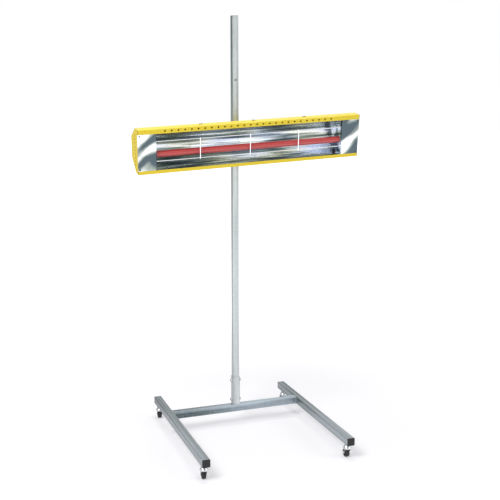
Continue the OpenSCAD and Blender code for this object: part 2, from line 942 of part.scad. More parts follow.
module trough_section() {
    intersection() {
        union() {
            polygon(concat(mirror_line(0), reversed(mirror_line(mirror_t))));
            for (side = [-1, 1])
                translate([trough_front, open_mid + side * (trough_half + edge_w / 2) - edge_w / 2])
                    square([mirror_t, edge_w]);
        }
        translate([trough_front, -half_h])
            square([trough_depth + mirror_t, head_h]);
    }
}
panel_in = half_len - sheet - panel_w;
module reflector() {
    color([0.85, 0.86, 0.87])
        on_head()
            along_head(-panel_in, panel_in)
                trough_section();
}

// Sheet brackets that carry the trough from the top and bottom walls
module reflector_brackets() {
    wall_z = half_h - sheet;
    wall_y = wall_depth - wall_bend;
    web_front = bridge_screw_y - screw_head;
    color([0.7, 0.72, 0.73])
        on_head()
            for (side = [-1, 1])
                difference() {
                    union() {
                        for (x = bridge_x)
                            along_head(x, x + bridge_t)
                                bridge_web(side, web_front, wall_y, wall_z);
                        for (x = bridge_x)
                            translate([x, web_front, side * (wall_z - bridge_t / 2) - bridge_t / 2])
                                cube([bridge_tab + 2 * screw_dia, wall_y - web_front, bridge_t]);
                    }
                    for (x = bridge_x, step = [1, 2])
                        on_wall(side, x + step * bridge_tab / 2, bridge_screw_y)
                            drill(screw_dia + 2 * drill_play, sheet + bridge_t);
                }
}
// Web between a wall and the back of the trough
module bridge_web(side, y0, y1, wall_z) {
    gap = mirror_t + run_gap;
    steps = [for (i = [facets / 4 : facets / 2]) 2 * i / facets];
    curve = [for (s = steps) mirror_point(side * s) + gap * mirror_normal(side * s)];
    difference() {
        polygon([[y0, side * wall_z], [y1, side * wall_z],
                 [curve[0][0], curve[0][1]], [y0, curve[0][1]]]);
        polygon(concat(curve, [[0, curve[len(curve) - 1][1]], [0, curve[0][1]]]));
    }
}

// Mirror panels at both ends, rolled inwards to close the trough
guard_y = 14;
hole_play = 1.5;
wire_play = 0.3;
guard_z = [for (side = [-1, 1]) open_mid + side * guard_w / 2];
module end_reflector(side) {
    roll_x = panel_in + panel_roll;
    roll_y = sheet + panel_roll;
    wall_outline = mirror_line(mirror_t + hole_play);
    color([0.85, 0.86, 0.87])
        on_head()
            mirror([side < 0 ? 1 : 0, 0, 0])
                difference() {
                    intersection() {
                        translate([0, 0, panel_low])
                            linear_extrude(panel_high - panel_low)
                                union() {
                                    translate([roll_x, sheet])
                                        square([half_len - roll_x, mirror_t]);
                                    intersection() {
                                        translate([roll_x, roll_y])
                                            difference() {
                                                circle(r = panel_roll, $fn = round_fn);
                                                circle(r = panel_roll - mirror_t, $fn = round_fn);
                                            }
                                        translate([panel_in, sheet])
                                            square(panel_roll);
                                    }
                                    translate([panel_in, roll_y])
                                        square([mirror_t, trough_depth - panel_roll]);
                                }
                        union() {
                            translate([panel_in - over, 0, -half_h])
                                cube([head_len, roll_y, head_h]);
                            along_head(panel_in - over, panel_in + 2 * over)
                                polygon(wall_outline);
                        }
                    }
                    translate([panel_in - over, tube_depth, -tube_drop])
                        rotate([0, 90, 0])
                            cylinder(d = tube_dia + 2 * hole_play, h = mirror_t + 2 * over, $fn = round_fn);
                    for (z = guard_z)
                        translate([panel_in - over, guard_y, z])
                            rotate([0, 90, 0])
                                cylinder(d = wire_dia + 2 * wire_play, h = mirror_t + 2 * over,
                                         $fn = small_fn);
                    for (z = panel_screw_z)
                        translate([panel_screw_x, sheet - over, z])
                            rotate([-90, 0, 0])
                                cylinder(d = screw_dia + 2 * drill_play, h = mirror_t + 2 * over,
                                         $fn = small_fn);
                }
}
module left_end_reflector() { end_reflector(-1); }
module right_end_reflector() { end_reflector(1); }

// Heat tube of ruby quartz, with a filament inside and a ceramic cap on each end
tube_out = 14;
cap_len = 28;
cap_spigot = 6;
cap_over = 2;
lead_pin = 2;
filament_dia = 5;
tube_half = panel_in + tube_out;
module on_tube() {
    on_head()
        translate([0, tube_depth, -tube_drop])
            rotate([0, 90, 0])
                children();
}
module heat_tube() {
    color([0.72, 0.08, 0.1, 0.9])
        on_tube()
            difference() {
                translate([0, 0, -tube_half])
                    cylinder(d = tube_dia, h = 2 * tube_half, $fn = round_fn);
                translate([0, 0, -tube_half - over])
                    cylinder(d = tube_dia - 2 * tube_wall, h = 2 * (tube_half + over), $fn = round_fn);
            }
}
module filament() {
    coil_half = tube_half - tube_out - cap_spigot;
    pin_half = tube_half + cap_len;
    color([0.55, 0.55, 0.56])
        on_tube() {
            translate([0, 0, -coil_half])
                cylinder(d = filament_dia, h = 2 * coil_half, $fn = small_fn);
            translate([0, 0, -pin_half])
                cylinder(d = lead_pin, h = 2 * pin_half, $fn = small_fn);
        }
}
module tube_caps() {
    color([0.92, 0.9, 0.85])
        on_tube()
            for (flip = [0, 1])
                mirror([0, 0, flip])
                    difference() {
                        union() {
                            translate([0, 0, tube_half])
                                cylinder(d = tube_dia + 2 * cap_over, h = cap_len, $fn = round_fn);
                            translate([0, 0, tube_half - cap_spigot])
                                cylinder(d = tube_dia - 2 * tube_wall - 2 * play, h = cap_spigot + over,
                                         $fn = round_fn);
                        }
                        translate([0, 0, tube_half - cap_spigot - over])
                            cylinder(d = lead_pin + 2 * play, h = cap_len + cap_spigot + 2 * over,
                                     $fn = small_fn);
                    }
}

// Sheet brackets that stand on the back wall and carry the tube's caps
holder_t = 2;
holder_foot = 16;
holder_rim = 7;
holder_h = tube_dia + 2 * cap_over + 2 * holder_rim;
module lamp_holders() {
    back = head_depth - sheet;
    front = tube_depth - holder_h / 2;
    color([0.78, 0.79, 0.8])
        on_head()
            for (side = [0, 1])
                mirror([side, 0, 0])
                    difference() {
                        union() {
                            translate([tube_half + cap_len / 2, front, -tube_drop - holder_h / 2])
                                cube([holder_t, back - front, holder_h]);
                            translate([tube_half + cap_len / 2, back - holder_t, -tube_drop - holder_h / 2])
                                cube([holder_foot, holder_t, holder_h]);
                        }
                        translate([tube_half + cap_len / 2 - over, tube_depth, -tube_drop])
                            rotate([0, 90, 0])
                                cylinder(d = tube_dia + 2 * cap_over + 2 * play,
                                         h = holder_t + 2 * over, $fn = round_fn);
                    }
}

// Guard: two long wires held in the end mirrors, three cross wires welded in front
weld_share = 0.8;
module guard() {
    long_half = panel_in + 2 * panel_roll;
    cross_y = guard_y - wire_dia * weld_share;
    cross_half = guard_w / 2 + wire_dia;
    color([0.85, 0.86, 0.87])
        on_head() {
            for (z = guard_z)
                translate([-long_half, guard_y, z])
                    rotate([0, 90, 0])
                        cylinder(d = wire_dia, h = 2 * long_half, $fn = small_fn);
            for (i = [-1 : 1])
                translate([i * cross_pitch - guard_shift, cross_y, open_mid - cross_half])
                    cylinder(d = wire_dia, h = 2 * cross_half, $fn = small_fn);
        }
}
guard_shift = 8;

// Pan-headed sheet screws: trough brackets, mirror panels and terminal cover
module pan_screw(grip) {
    cylinder(d1 = screw_head, d2 = screw_head - screw_head_h, h = screw_head_h, $fn = small_fn);
    translate([0, 0, -grip - over])
        cylinder(d = screw_dia, h = grip + 2 * over, $fn = small_fn);
}
module sheet_screws() {
    color([0.6, 0.61, 0.62])
        on_head() {
            for (side = [-1, 1], x = bridge_x, step = [1, 2])
                on_wall(side, x + step * bridge_tab / 2, bridge_screw_y)
                    pan_screw(sheet + bridge_t);
            for (side = [-1, 1], z = panel_screw_z)
                translate([side * panel_screw_x, sheet, z])
                    rotate([90, 0, 0])
                        pan_screw(mirror_t + sheet);
            for (x = cover_screw_x)
                on_back(x, 0)
                    translate([0, 0, cover_sheet])
                        pan_screw(cover_sheet + sheet);
        }
}

// Bracket riveted to the back of the head
module head_bracket() {
    color([0.93, 0.8, 0.14])
        on_head()
            difference() {
                union() {
                    translate([-bracket_w / 2, head_depth, -bracket_h / 2])
                        cube([bracket_w, bracket_t, bracket_h]);
                    for (side = [-1, 1])
                        translate([side * (bracket_w / 2 - bracket_t / 2) - bracket_t / 2,
                                   head_depth + pivot_gap, 0])
                            rotate([90, 0, 90])
                                linear_extrude(bracket_t)
                                    mirror([1, 0])
                                        ear_outline(pivot_gap);
                }
                for (sx = [-1, 1], sz = [-1, 1])
                    on_back(sx * bracket_hole_x, sz * bracket_hole_z)
                        translate([0, 0, bracket_t])
                            drill(rivet_dia + 2 * drill_play, bracket_t);
            }
}
module bracket_rivets() {
    color([0.75, 0.75, 0.75])
        on_head()
            for (sx = [-1, 1], sz = [-1, 1])
                on_back(sx * bracket_hole_x, sz * bracket_hole_z)
                    translate([0, 0, bracket_t])
                        rivet(bracket_t + sheet);
}

// Two insulated leads run behind the trough from the terminals to the tube's pins
lead_dia = 3;
// A bend in a lead is a little thicker than the lead
bend_share = 1.25;
// Half the distance between the two leads, as a share of a lead
lead_gap_share = 0.7;
lead_y = head_depth - sheet - 2 * lead_dia;
lead_z = holder_h / 2 - tube_drop + 1.5 * lead_dia;
module lead_piece(from, to) {
    way = to - from;
    length = norm(way);
    translate(from)
        rotate([0, acos(way[2] / length), atan2(way[1], way[0])])
            cylinder(d = lead_dia, h = length, $fn = small_fn);
}
module lead_bend(at) {
    translate(at)
        sphere(d = lead_dia * bend_share, $fn = small_fn);
}
module lamp_leads() {
    out_x = tube_half + cap_len;
    block_y = head_depth + run_gap;
    color([0.85, 0.83, 0.75])
        on_head()
            for (side = [-1, 1]) {
                end_x = lead_hole_x + side * lead_dia * lead_gap_share;
                points = [
                    [side * out_x, tube_depth, -tube_drop],
                    [side * (out_x + 3 * lead_dia), tube_depth, -tube_drop],
                    [side * (out_x + 3 * lead_dia), lead_y, lead_z],
                    [end_x, lead_y, lead_z],
                    [end_x, lead_y, 0],
                    [end_x, block_y + 2 * lead_dia, 0]
                ];
                for (i = [0 : len(points) - 2])
                    lead_piece(points[i], points[i + 1]);
                for (i = [1 : len(points) - 2])
                    lead_bend(points[i]);
            }
}

// Folded cover over the terminals on the back of the head
gland_x = cover_x + cover_len / 5;
gland_thread = 20;
gland_y = head_depth + cover_depth / 2;
module terminal_cover() {
    color([0.93, 0.8, 0.14])
        on_head()
            difference() {
                union() {
                    translate([cover_x - cover_len / 2, head_depth, -cover_h / 2])
                        cube([cover_len, cover_depth, cover_h]);
                    translate([cover_x - cover_len / 2 - flange_w, head_depth, -cover_h / 2])
                        cube([cover_len + 2 * flange_w, cover_sheet, cover_h]);
                }
                translate([cover_x - cover_len / 2 + cover_sheet, head_depth - over,
                           cover_sheet - cover_h / 2])
                    cube([cover_len - 2 * cover_sheet, cover_depth - cover_sheet + over,
                          cover_h - 2 * cover_sheet]);
                translate([gland_x, gland_y, -cover_h / 2 - over])
                    cylinder(d = gland_thread + 2 * drill_play, h = cover_sheet + 2 * over, $fn = round_fn);
                for (x = cover_screw_x)
                    on_back(x, 0)
                        translate([0, 0, cover_sheet])
                            drill(screw_dia + 2 * drill_play, cover_sheet);
            }
}

// Ceramic connector block with three wire ways
block_w = 36;
block_h = 18;
block_d = 20;
block_ways = 3;
way_dia = 4;
module terminal_block() {
    block_x = lead_hole_x + lead_hole / 2 + over;
    color([0.92, 0.9, 0.85])
        on_head()
            difference() {
                translate([block_x, head_depth, -block_h / 2])
                    cube([block_w, block_d, block_h]);
                for (i = [0 : block_ways - 1])
                    translate([block_x + (i + 0.5) * block_w / block_ways, head_depth + block_d / 2,
                               -block_h / 2 - over])
                        cylinder(d = way_dia, h = block_h + 2 * over, $fn = small_fn);
            }
}

// Cable gland under the cover: body, sealing ring, dome nut and a locknut inside
gland_hex = 24;
gland_hex_h = 5;
gland_in = 9;
gland_nose = 9;
gland_nose_dia = 17;
seal_wall = 2;
dome_dia = 23;
dome_wall = 3;
dome_clear = 0.7;
dome_taper = 4;
locknut_h = 4;
seal_dia = gland_bore + 2 * seal_wall;
module at_gland() {
    on_head()
        translate([gland_x, gland_y, -cover_h / 2])
            rotate([180, 0, 0])
                children();
}
module gland_body() {
    color([0.12, 0.12, 0.13])
        at_gland()
            difference() {
                union() {
                    translate([0, 0, -gland_in])
                        cylinder(d = gland_thread, h = gland_in + over, $fn = round_fn);
                    hex_prism(gland_hex, gland_hex_h);
                    cylinder(d = gland_nose_dia, h = gland_hex_h + gland_nose, $fn = round_fn);
                }
                translate([0, 0, -gland_in - over])
                    cylinder(d = seal_dia + 2 * play, h = gland_in + gland_hex_h + gland_nose + 2 * over,
                             $fn = round_fn);
            }
}
module gland_seal() {
    color([0.2, 0.2, 0.21])
        at_gland()
            difference() {
                cylinder(d = seal_dia, h = gland_hex_h + gland_nose, $fn = round_fn);
                translate([0, 0, -over])
                    cylinder(d = gland_bore, h = gland_hex_h + gland_nose + 2 * over, $fn = round_fn);
            }
}
module gland_nut() {
    color([0.12, 0.12, 0.13])
        at_gland()
            translate([0, 0, gland_hex_h])
                difference() {
                    union() {
                        cylinder(d = dome_dia, h = gland_nose + dome_wall - dome_taper, $fn = round_fn);
                        translate([0, 0, gland_nose + dome_wall - dome_taper])
                            cylinder(d1 = dome_dia, d2 = dome_dia - dome_taper, h = dome_taper,
                                     $fn = round_fn);
                    }
                    translate([0, 0, -over])
                        cylinder(d = gland_nose_dia + 2 * play, h = gland_nose + over, $fn = round_fn);
                    translate([0, 0, -over])
                        cylinder(d = gland_bore + 2 * dome_clear, h = gland_nose + dome_wall + 2 * over,
                                 $fn = round_fn);
                }
}
module gland_locknut() {
    color([0.12, 0.12, 0.13])
        at_gland()
            translate([0, 0, -cover_sheet - locknut_h])
                difference() {
                    hex_prism(gland_hex, locknut_h);
                    translate([0, 0, -over])
                        cylinder(d = gland_thread + 2 * play, h = locknut_h + 2 * over, $fn = round_fn);
                }
}

left_leg();
right_leg();
cross_bar();
leg_caps();
mast_socket();
socket_bolts();
socket_nuts();
mast();
mast_cap();
stop_screw();
caster_stems();
caster_nuts();
front_left_fork();
front_right_fork();
rear_left_fork();
rear_right_fork();
front_left_axle();
front_right_axle();
rear_left_axle();
rear_right_axle();
front_left_wheel();
front_right_wheel();
rear_left_wheel();
rear_right_wheel();
carriage();
carriage_liners();
turn_stud();
turn_washer();
clamp_screw();
clamp_knob();
turn_knob();
yoke();
tilt_bolt();
tilt_nuts();
tilt_washers();
tilt_screw();
tilt_knob();
housing();
left_end_plate();
right_end_plate();
end_rivets();
reflector();
reflector_brackets();
left_end_reflector();
right_end_reflector();
heat_tube();
filament();
tube_caps();
lamp_holders();
guard();
sheet_screws();
head_bracket();
bracket_rivets();
lamp_leads();
terminal_cover();
terminal_block();
gland_body();
gland_seal();
gland_nut();
gland_locknut();
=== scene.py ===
import json
import math

import bmesh
import bpy
from mathutils import Matrix, Vector


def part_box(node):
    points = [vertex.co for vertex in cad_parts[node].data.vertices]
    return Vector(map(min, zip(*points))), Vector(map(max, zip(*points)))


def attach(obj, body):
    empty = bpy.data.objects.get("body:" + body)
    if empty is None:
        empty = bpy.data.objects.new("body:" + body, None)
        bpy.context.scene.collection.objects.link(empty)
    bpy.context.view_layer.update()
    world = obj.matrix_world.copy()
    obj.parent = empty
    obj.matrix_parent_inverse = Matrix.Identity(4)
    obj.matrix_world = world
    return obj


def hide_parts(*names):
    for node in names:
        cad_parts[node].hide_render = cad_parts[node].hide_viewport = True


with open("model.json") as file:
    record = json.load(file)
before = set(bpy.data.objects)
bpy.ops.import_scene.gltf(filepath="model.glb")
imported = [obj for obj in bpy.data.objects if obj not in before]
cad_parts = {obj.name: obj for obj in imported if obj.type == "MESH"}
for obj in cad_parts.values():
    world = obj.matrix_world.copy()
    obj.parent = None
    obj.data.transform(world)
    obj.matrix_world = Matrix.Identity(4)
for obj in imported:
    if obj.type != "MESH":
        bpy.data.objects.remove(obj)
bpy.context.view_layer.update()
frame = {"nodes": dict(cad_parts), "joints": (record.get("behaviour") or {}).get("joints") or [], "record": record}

nodes = frame["nodes"]
joints = {joint["name"]: joint for joint in frame["joints"]}

# Camera
# A standing photographer, four metres away and a little to the left of the lamp, looks
# slightly down at it through a short telephoto lens.
camera_data = bpy.data.cameras.new("camera")
camera_data.lens = 61.92
camera_data.sensor_width = 36.0
camera = bpy.data.objects.new("camera", camera_data)
camera.location = (-1.333, -3.6695, 1.594)
camera.rotation_euler = (math.radians(80.02), 0.0, math.radians(-20.1))
bpy.context.scene.collection.objects.link(camera)
bpy.context.scene.camera = camera
bpy.context.scene.view_settings.view_transform = "Standard"


# Studio
# A seamless pale floor that runs out to a white background, one big soft lamp from the
# upper left and weaker ones from the right and from above. Bright metal mirrors a room
# with a few dark corners, which is darkest behind the object, and so is its floor.
class Tone:
    """One value or colour of a finish, so that sums on it are written as plain expressions."""

    def __init__(self, finish, socket):
        self.finish = finish
        self.socket = socket

    def reckon(self, operation, first, second):
        return self.finish.node("ShaderNodeMath", {"operation": operation}, {0: first, 1: second})

    def __add__(self, other):
        return self.reckon("ADD", self, other)

    def __radd__(self, other):
        return self.reckon("ADD", other, self)

    def __sub__(self, other):
        return self.reckon("SUBTRACT", self, other)

    def __rsub__(self, other):
        return self.reckon("SUBTRACT", other, self)

    def __mul__(self, other):
        return self.reckon("MULTIPLY", self, other)

    def __rmul__(self, other):
        return self.reckon("MULTIPLY", other, self)

    def __abs__(self):
        return self.reckon("ABSOLUTE", self, 0.0)

    def larger(self, other):
        return self.reckon("MAXIMUM", self, other)


class Finish:
    """The nodes of one material or of the world."""

    def __init__(self, tree):
        self.tree = tree
        tree.nodes.clear()

    def node(self, kind, settings=None, inputs=None, output=0):
        made = self.tree.nodes.new(kind)
        for name, setting in (settings or {}).items():
            if name == "stops":
                self.set_stops(made.color_ramp, setting)
            else:
                setattr(made, name, setting)
        for name, value in (inputs or {}).items():
            if isinstance(value, Tone):
                self.tree.links.new(value.socket, made.inputs[name])
            else:
                made.inputs[name].default_value = value
        return Tone(self, made.outputs[output]) if made.outputs else made

    def set_stops(self, ramp, stops):
        while len(ramp.elements) < len(stops):
            ramp.elements.new(1.0)
        for element, (place, grey) in zip(ramp.elements, stops):
            element.position = place
            element.color = (grey, grey, grey, 1.0)

    def ramp(self, value, stops):
        return self.node("ShaderNodeValToRGB", {"stops": stops}, {"Fac": value})

    def blend(self, share, first, second, kind="MIX"):
        settings = {"data_type": "RGBA", "blend_type": kind}
        return self.node("ShaderNodeMix", settings, {0: share, 6: first, 7: second}, output=2)

    def toward(self, way, direction):
        """How closely a way runs in a direction, up to 1."""
        return self.node("ShaderNodeVectorMath", {"operation": "DOT_PRODUCT"},
                         {0: way, 1: Vector(direction).normalized()}, output=1)

    def sights(self):
        """What the camera sees itself, and what it sees in a mirror or through glass."""
        rays = self.node("ShaderNodeLightPath").socket.node.outputs
        in_mirror, through = Tone(self, rays["Is Glossy Ray"]), Tone(self, rays["Is Transmission Ray"])
        return Tone(self, rays["Is Camera Ray"]), in_mirror.larger(through)


world = bpy.data.worlds.new("studio")
world.use_nodes = True
bpy.context.scene.world = world
sky = Finish(world.node_tree)
white = (1.0, 1.0, 1.0, 1.0)
eye, mirror = sky.sights()
way = sky.node("ShaderNodeTexCoord", output=0)
patches = sky.node("ShaderNodeTexNoise", {"noise_dimensions": "3D"},
                   {"Vector": way, "Scale": 1.7, "Detail": 1.0, "Roughness": 0.4})
behind = sky.toward(way, (-0.42, 0.90, -0.05))
room_tone = (sky.ramp(patches, [(0.40, 0.10), (0.52, 1.0)])
             * sky.ramp(behind, [(0.80, 1.0), (0.93, 0.12)]))
room = sky.blend(room_tone, (0.16, 0.20, 0.22, 1.0), white)
ambient = (0.43, 0.43, 0.45, 1.0)
shown = sky.blend(eye, sky.blend(mirror, ambient, room), white)
backdrop = sky.node("ShaderNodeBackground", None, {"Color": shown, "Strength": 1.0})
sky.node("ShaderNodeOutputWorld", None, {"Surface": backdrop})

floor_half = 30.0
floor_corners = [(x * floor_half, y * floor_half, 0) for x, y in ((-1, -1), (1, -1), (1, 1), (-1, 1))]
floor_mesh = bpy.data.meshes.new("floor")
floor_mesh.from_pydata(floor_corners, [], [(0, 1, 2, 3)])
floor = bpy.data.objects.new("floor", floor_mesh)
bpy.context.scene.collection.objects.link(floor)
floor_material = bpy.data.materials.new("floor_paper")
floor_material.use_nodes = True
paper = Finish(floor_material.node_tree)
eye, mirror = paper.sights()
spot = paper.node("ShaderNodeTexCoord", output=3)
spot_way = paper.node("ShaderNodeVectorMath", {"operation": "NORMALIZE"}, {0: spot})
lane = paper.toward(spot_way, (-0.36, 0.93, 0.0))
seen_floor = eye.larger(mirror * paper.ramp(lane, [(0.90, 1.0), (0.975, 0.05)]))
distance = paper.node("ShaderNodeVectorMath", {"operation": "LENGTH"}, {0: spot}, output=1)
fade = paper.node("ShaderNodeMapRange", {"interpolation_type": "SMOOTHSTEP"},
                  {"Value": distance, "From Min": 0.7, "From Max": 3.0, "To Min": 0.26, "To Max": 1.0})
paper_white = paper.node("ShaderNodeBsdfDiffuse", None, {"Color": (0.84, 0.83, 0.85, 1.0)})
paper_glow = paper.node("ShaderNodeEmission", None, {"Color": white, "Strength": seen_floor * fade})
paper_sum = paper.node("ShaderNodeAddShader", None, {0: paper_white, 1: paper_glow})
paper.node("ShaderNodeOutputMaterial", None, {"Surface": paper_sum})
floor_mesh.materials.append(floor_material)


def soft_lamp(name, place, aim, size, power):
    lamp_data = bpy.data.lights.new(name, "AREA")
    lamp_data.shape = "RECTANGLE"
    lamp_data.size, lamp_data.size_y = size
    lamp_data.energy = power
    lamp = bpy.data.objects.new(name, lamp_data)
    lamp.location = place
    lamp.rotation_euler = (Vector(aim) - Vector(place)).to_track_quat("-Z", "Y").to_euler()
    bpy.context.scene.collection.objects.link(lamp)


half_way_up = (0.0, 0.0, 0.9)
behind_foot = (0.0, 0.2, 0.0)
soft_lamp("key_lamp", place=(-2.9, -2.0, 4.4), aim=half_way_up, size=(2.4, 2.4), power=136.0)
soft_lamp("fill_lamp", place=(3.2, -2.4, 2.6), aim=half_way_up, size=(1.6, 2.4), power=24.0)
soft_lamp("top_lamp", place=(0.2, 0.3, 4.6), aim=behind_foot, size=(1.3, 1.3), power=30.0)


# Base
# Square steel tube, zinc plated, cut square and welded: two legs with a crossbar
# between them. The zinc shows a faint crystal pattern and soft streaks along the draw, and a painted reflection:
# broad light and dark bands and a sweep from dark to light along each tube.
def finish_of(name):
    material = bpy.data.materials.new(name)
    material.use_nodes = True
    return material, Finish(material.node_tree)


def dress(material, *names):
    for name in names:
        piece = nodes[name]
        piece.data.materials.clear()
        piece.data.materials.append(material)


def place_of(finish, stretch=(1.0, 1.0, 1.0)):
    """The place on the piece in metres, stretched so that a pattern runs long in one direction."""
    where = finish.node("ShaderNodeTexCoord", output=3)
    return finish.node("ShaderNodeMapping", None, {"Vector": where, "Scale": stretch})


def noise(finish, where, scale, detail=2.0, rough=0.5):
    return finish.node("ShaderNodeTexNoise", None,
                       {"Vector": where, "Scale": scale, "Detail": detail, "Roughness": rough})


def surface(finish, inputs):
    shader = finish.node("ShaderNodeBsdfPrincipled", None, inputs)
    finish.node("ShaderNodeOutputMaterial", None, {"Surface": shader})


def bump(finish, height, strength, distance):
    return finish.node("ShaderNodeBump", None,
                       {"Height": height, "Strength": strength, "Distance": distance})


def zinc_tube(name, along, dark, light, painted_dark_end, painted_light_end):
    """Zinc plated tube: draw marks along one axis, 0 to 2, with a painted reflection that sweeps from dark at one
    place to light at another.
    """
    material, skin = finish_of(name)
    stretch = [1.0, 1.0, 1.0]
    stretch[along] = 0.03
    flat = place_of(skin)
    drawn = place_of(skin, stretch)
    run = skin.node("ShaderNodeSeparateXYZ", None, {0: flat}, output=along)
    # Painted reflection: the tube is painted from dark at one place to light at another.
    painted_reflection_sweep = skin.node("ShaderNodeMapRange", {"interpolation_type": "SMOOTHSTEP"},
                      {"Value": run, "From Min": painted_dark_end, "From Max": painted_light_end})
    # Painted reflection: broad light and dark bands along the draw, as plated tube mirrors a room.
    bands = skin.ramp(noise(skin, drawn, 46.0, 1.5, 0.5), [(0.38, 0.0), (0.62, 1.0)])
    crystals = skin.node("ShaderNodeTexVoronoi", {"feature": "F1"},
                         {"Vector": flat, "Scale": 95.0, "Randomness": 1.0}, output=1)
    crystal = skin.node("ShaderNodeSeparateColor", None, {0: crystals})
    streaks = noise(skin, drawn, 160.0, 4.0, 0.6)
    clouds = noise(skin, flat, 9.0, 3.0, 0.55)
    scuffs = skin.ramp(noise(skin, flat, 55.0, 5.0, 0.7), [(0.60, 0.0), (0.72, 1.0)])
    depth = crystal * 0.08 + streaks * 0.20 + clouds * 0.12 + bands * 0.40 + painted_reflection_sweep * 0.40 - 0.09
    tint = skin.blend(depth, dark, light)
    tint = skin.blend(scuffs * 0.30, tint, (0.30, 0.31, 0.31, 1.0))
    rough = skin.ramp(depth, [(0.25, 0.27), (0.75, 0.40)]) + scuffs * 0.14
    grain = bump(skin, streaks + crystal * 0.4, 0.16, 0.0004)
    surface(skin, {"Base Color": tint, "Metallic": 0.88, "Roughness": rough, "Normal": grain})
    return material


# The dark and the light tone of each coat, the ends of its painted reflection. The legs, crossbar and mast are one
# zinc, painted in darker tones on the legs and paler ones on the mast, as each looks in its light.
dark_zinc_painted_reflection = (0.08, 0.105, 0.105, 1.0), (0.46, 0.51, 0.54, 1.0)
bar_zinc_painted_reflection = (0.04, 0.065, 0.065, 1.0), (0.66, 0.76, 0.84, 1.0)
pale_zinc_painted_reflection = (0.25, 0.285, 0.285, 1.0), (0.74, 0.79, 0.78, 1.0)
# Painted reflection: the legs lighter toward the front, the crossbar lighter to the right, the mast lighter toward
# its foot.
zinc_back = zinc_tube("zinc_tube_front_to_back", 1, *dark_zinc_painted_reflection, painted_dark_end=0.30, painted_light_end=-0.35)
zinc_across = zinc_tube("zinc_tube_side_to_side", 0, *bar_zinc_painted_reflection, painted_dark_end=-0.30, painted_light_end=0.15)
zinc_upright = zinc_tube("zinc_tube_upright", 2, *pale_zinc_painted_reflection, painted_dark_end=3.2, painted_light_end=0.2)
dress(zinc_back, "left_leg", "right_leg")
dress(zinc_across, "cross_bar")
dress(zinc_upright, "mast")

body_of = {name: body for body, names in frame["record"]["behaviour"]["bodies"].items() for name in names}


def finish_piece(name, made, body, material, smooth=35):
    """Turns a worked mesh into a piece that rides on a body, shaded smooth below an angle."""
    bmesh.ops.recalc_face_normals(made, faces=made.faces)
    mesh = bpy.data.meshes.new(name)
    made.to_mesh(mesh)
    made.free()
    mesh.polygons.foreach_set("use_smooth", [True] * len(mesh.polygons))
    mesh.set_sharp_from_angle(angle=math.radians(smooth))
    piece = bpy.data.objects.new(name, mesh)
    bpy.context.scene.collection.objects.link(piece)
    mesh.materials.append(material)
    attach(piece, body)
    return piece


def remake(name, made, material, smooth=35):
    """A worked mesh in place of the node's own, on the same body."""
    piece = finish_piece(name + "_dressed", made, body_of[name], material, smooth)
    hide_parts(name)
    return piece


same_corner = 0.00002


def soften(name, width, material, steps=2, angle=35):
    """The solid again with its edges rounded, as a saw and file, a mould or a paint film leaves them."""
    made = bmesh.new()
    made.from_mesh(nodes[name].data)
    bmesh.ops.remove_doubles(made, verts=made.verts, dist=same_corner)
    bmesh.ops.dissolve_limit(made, angle_limit=math.radians(1.0), verts=made.verts, edges=made.edges)
    edges = [edge for edge in made.edges
             if len(edge.link_faces) == 2 and edge.calc_face_angle() > math.radians(angle)]
    bmesh.ops.bevel(made, geom=edges, offset=width, segments=steps, profile=0.5, affect="EDGES",
                    clamp_overlap=True)
    even = remake(name, made, material, smooth=50).modifiers.new("even_shading", "WEIGHTED_NORMAL")
    even.keep_sharp = True


def around(sides):
    """The cosine and sine of each corner of a ring."""
    return [(math.cos(math.tau * k / sides), math.sin(math.tau * k / sides)) for k in range(sides)]


def join_rings(made, rings, closed=True):
    """Faces from each ring to the next, where a ring may be one point, and over both ends."""
    for first, second in zip(rings, rings[1:]):
        for k in range(max(len(first), len(second))):
            corners = [first[k % len(first)], first[(k + 1) % len(first)],
                       second[(k + 1) % len(second)], second[k % len(second)]]
            corners = list(dict.fromkeys(corners))
            if len(corners) > 2:
                made.faces.new(corners)
    if closed:
        made.faces.new(rings[0][::-1])
        made.faces.new(rings[-1])


def sweep(made, start, end, radius_at, steps, sides=8):
    """A closed run of rings from start to end, whose radius follows radius_at(share)."""
    start, end = Vector(start), Vector(end)
    along = end - start
    side = along.normalized().orthogonal().normalized()
    cross = along.normalized().cross(side)
    rings = []
    for i in range(steps + 1):
        share = i / steps
        swell = radius_at(share)
        centre = start + along * share
        rings.append([made.verts.new(centre + side * swell * cosine + cross * swell * sine)
                      for cosine, sine in around(sides)])
    join_rings(made, rings)


def weld_finish():
    material, skin = finish_of("zinc_on_weld")
    lumps = noise(skin, place_of(skin), 420.0, 3.0, 0.6)
    tint = skin.blend(lumps, (0.34, 0.35, 0.36, 1.0), (0.70, 0.71, 0.71, 1.0))
    surface(skin, {"Base Color": tint, "Metallic": 0.85, "Roughness": 0.42,
                   "Normal": bump(skin, lumps, 0.5, 0.0006)})
    return material


weld_zinc = weld_finish()
weld_radius = 0.0026
weld_ripple = 0.0026
ripple_share = 0.16
weld_sunk = 0.0008


def weld(name, body, runs):
    """Weld beads with overlapping ripples along each run, given as (from, to)."""
    made = bmesh.new()
    for start, end in runs:
        count = max(3, round((Vector(end) - Vector(start)).length / weld_ripple))

        def ripple(share, count=count):
            if share in (0.0, 1.0):
                return weld_radius * 0.5
            return weld_radius * (1 - ripple_share + ripple_share * math.cos(share * count * math.tau))

        sweep(made, start, end, ripple, count * 4)
    finish_piece(name, made, body, weld_zinc, smooth=70)


bar_low, bar_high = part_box("cross_bar")
corner_cut = 0.003
runs = []
for end_x in (bar_low.x, bar_high.x):
    x = end_x - math.copysign(weld_sunk, end_x)
    for z in (bar_low.z, bar_high.z):
        runs.append(((x, bar_low.y + corner_cut, z), (x, bar_high.y - corner_cut, z)))
    for y in (bar_low.y, bar_high.y):
        runs.append(((x, y, bar_low.z + corner_cut), (x, y, bar_high.z - corner_cut)))
weld("crossbar_welds", "stand", runs)


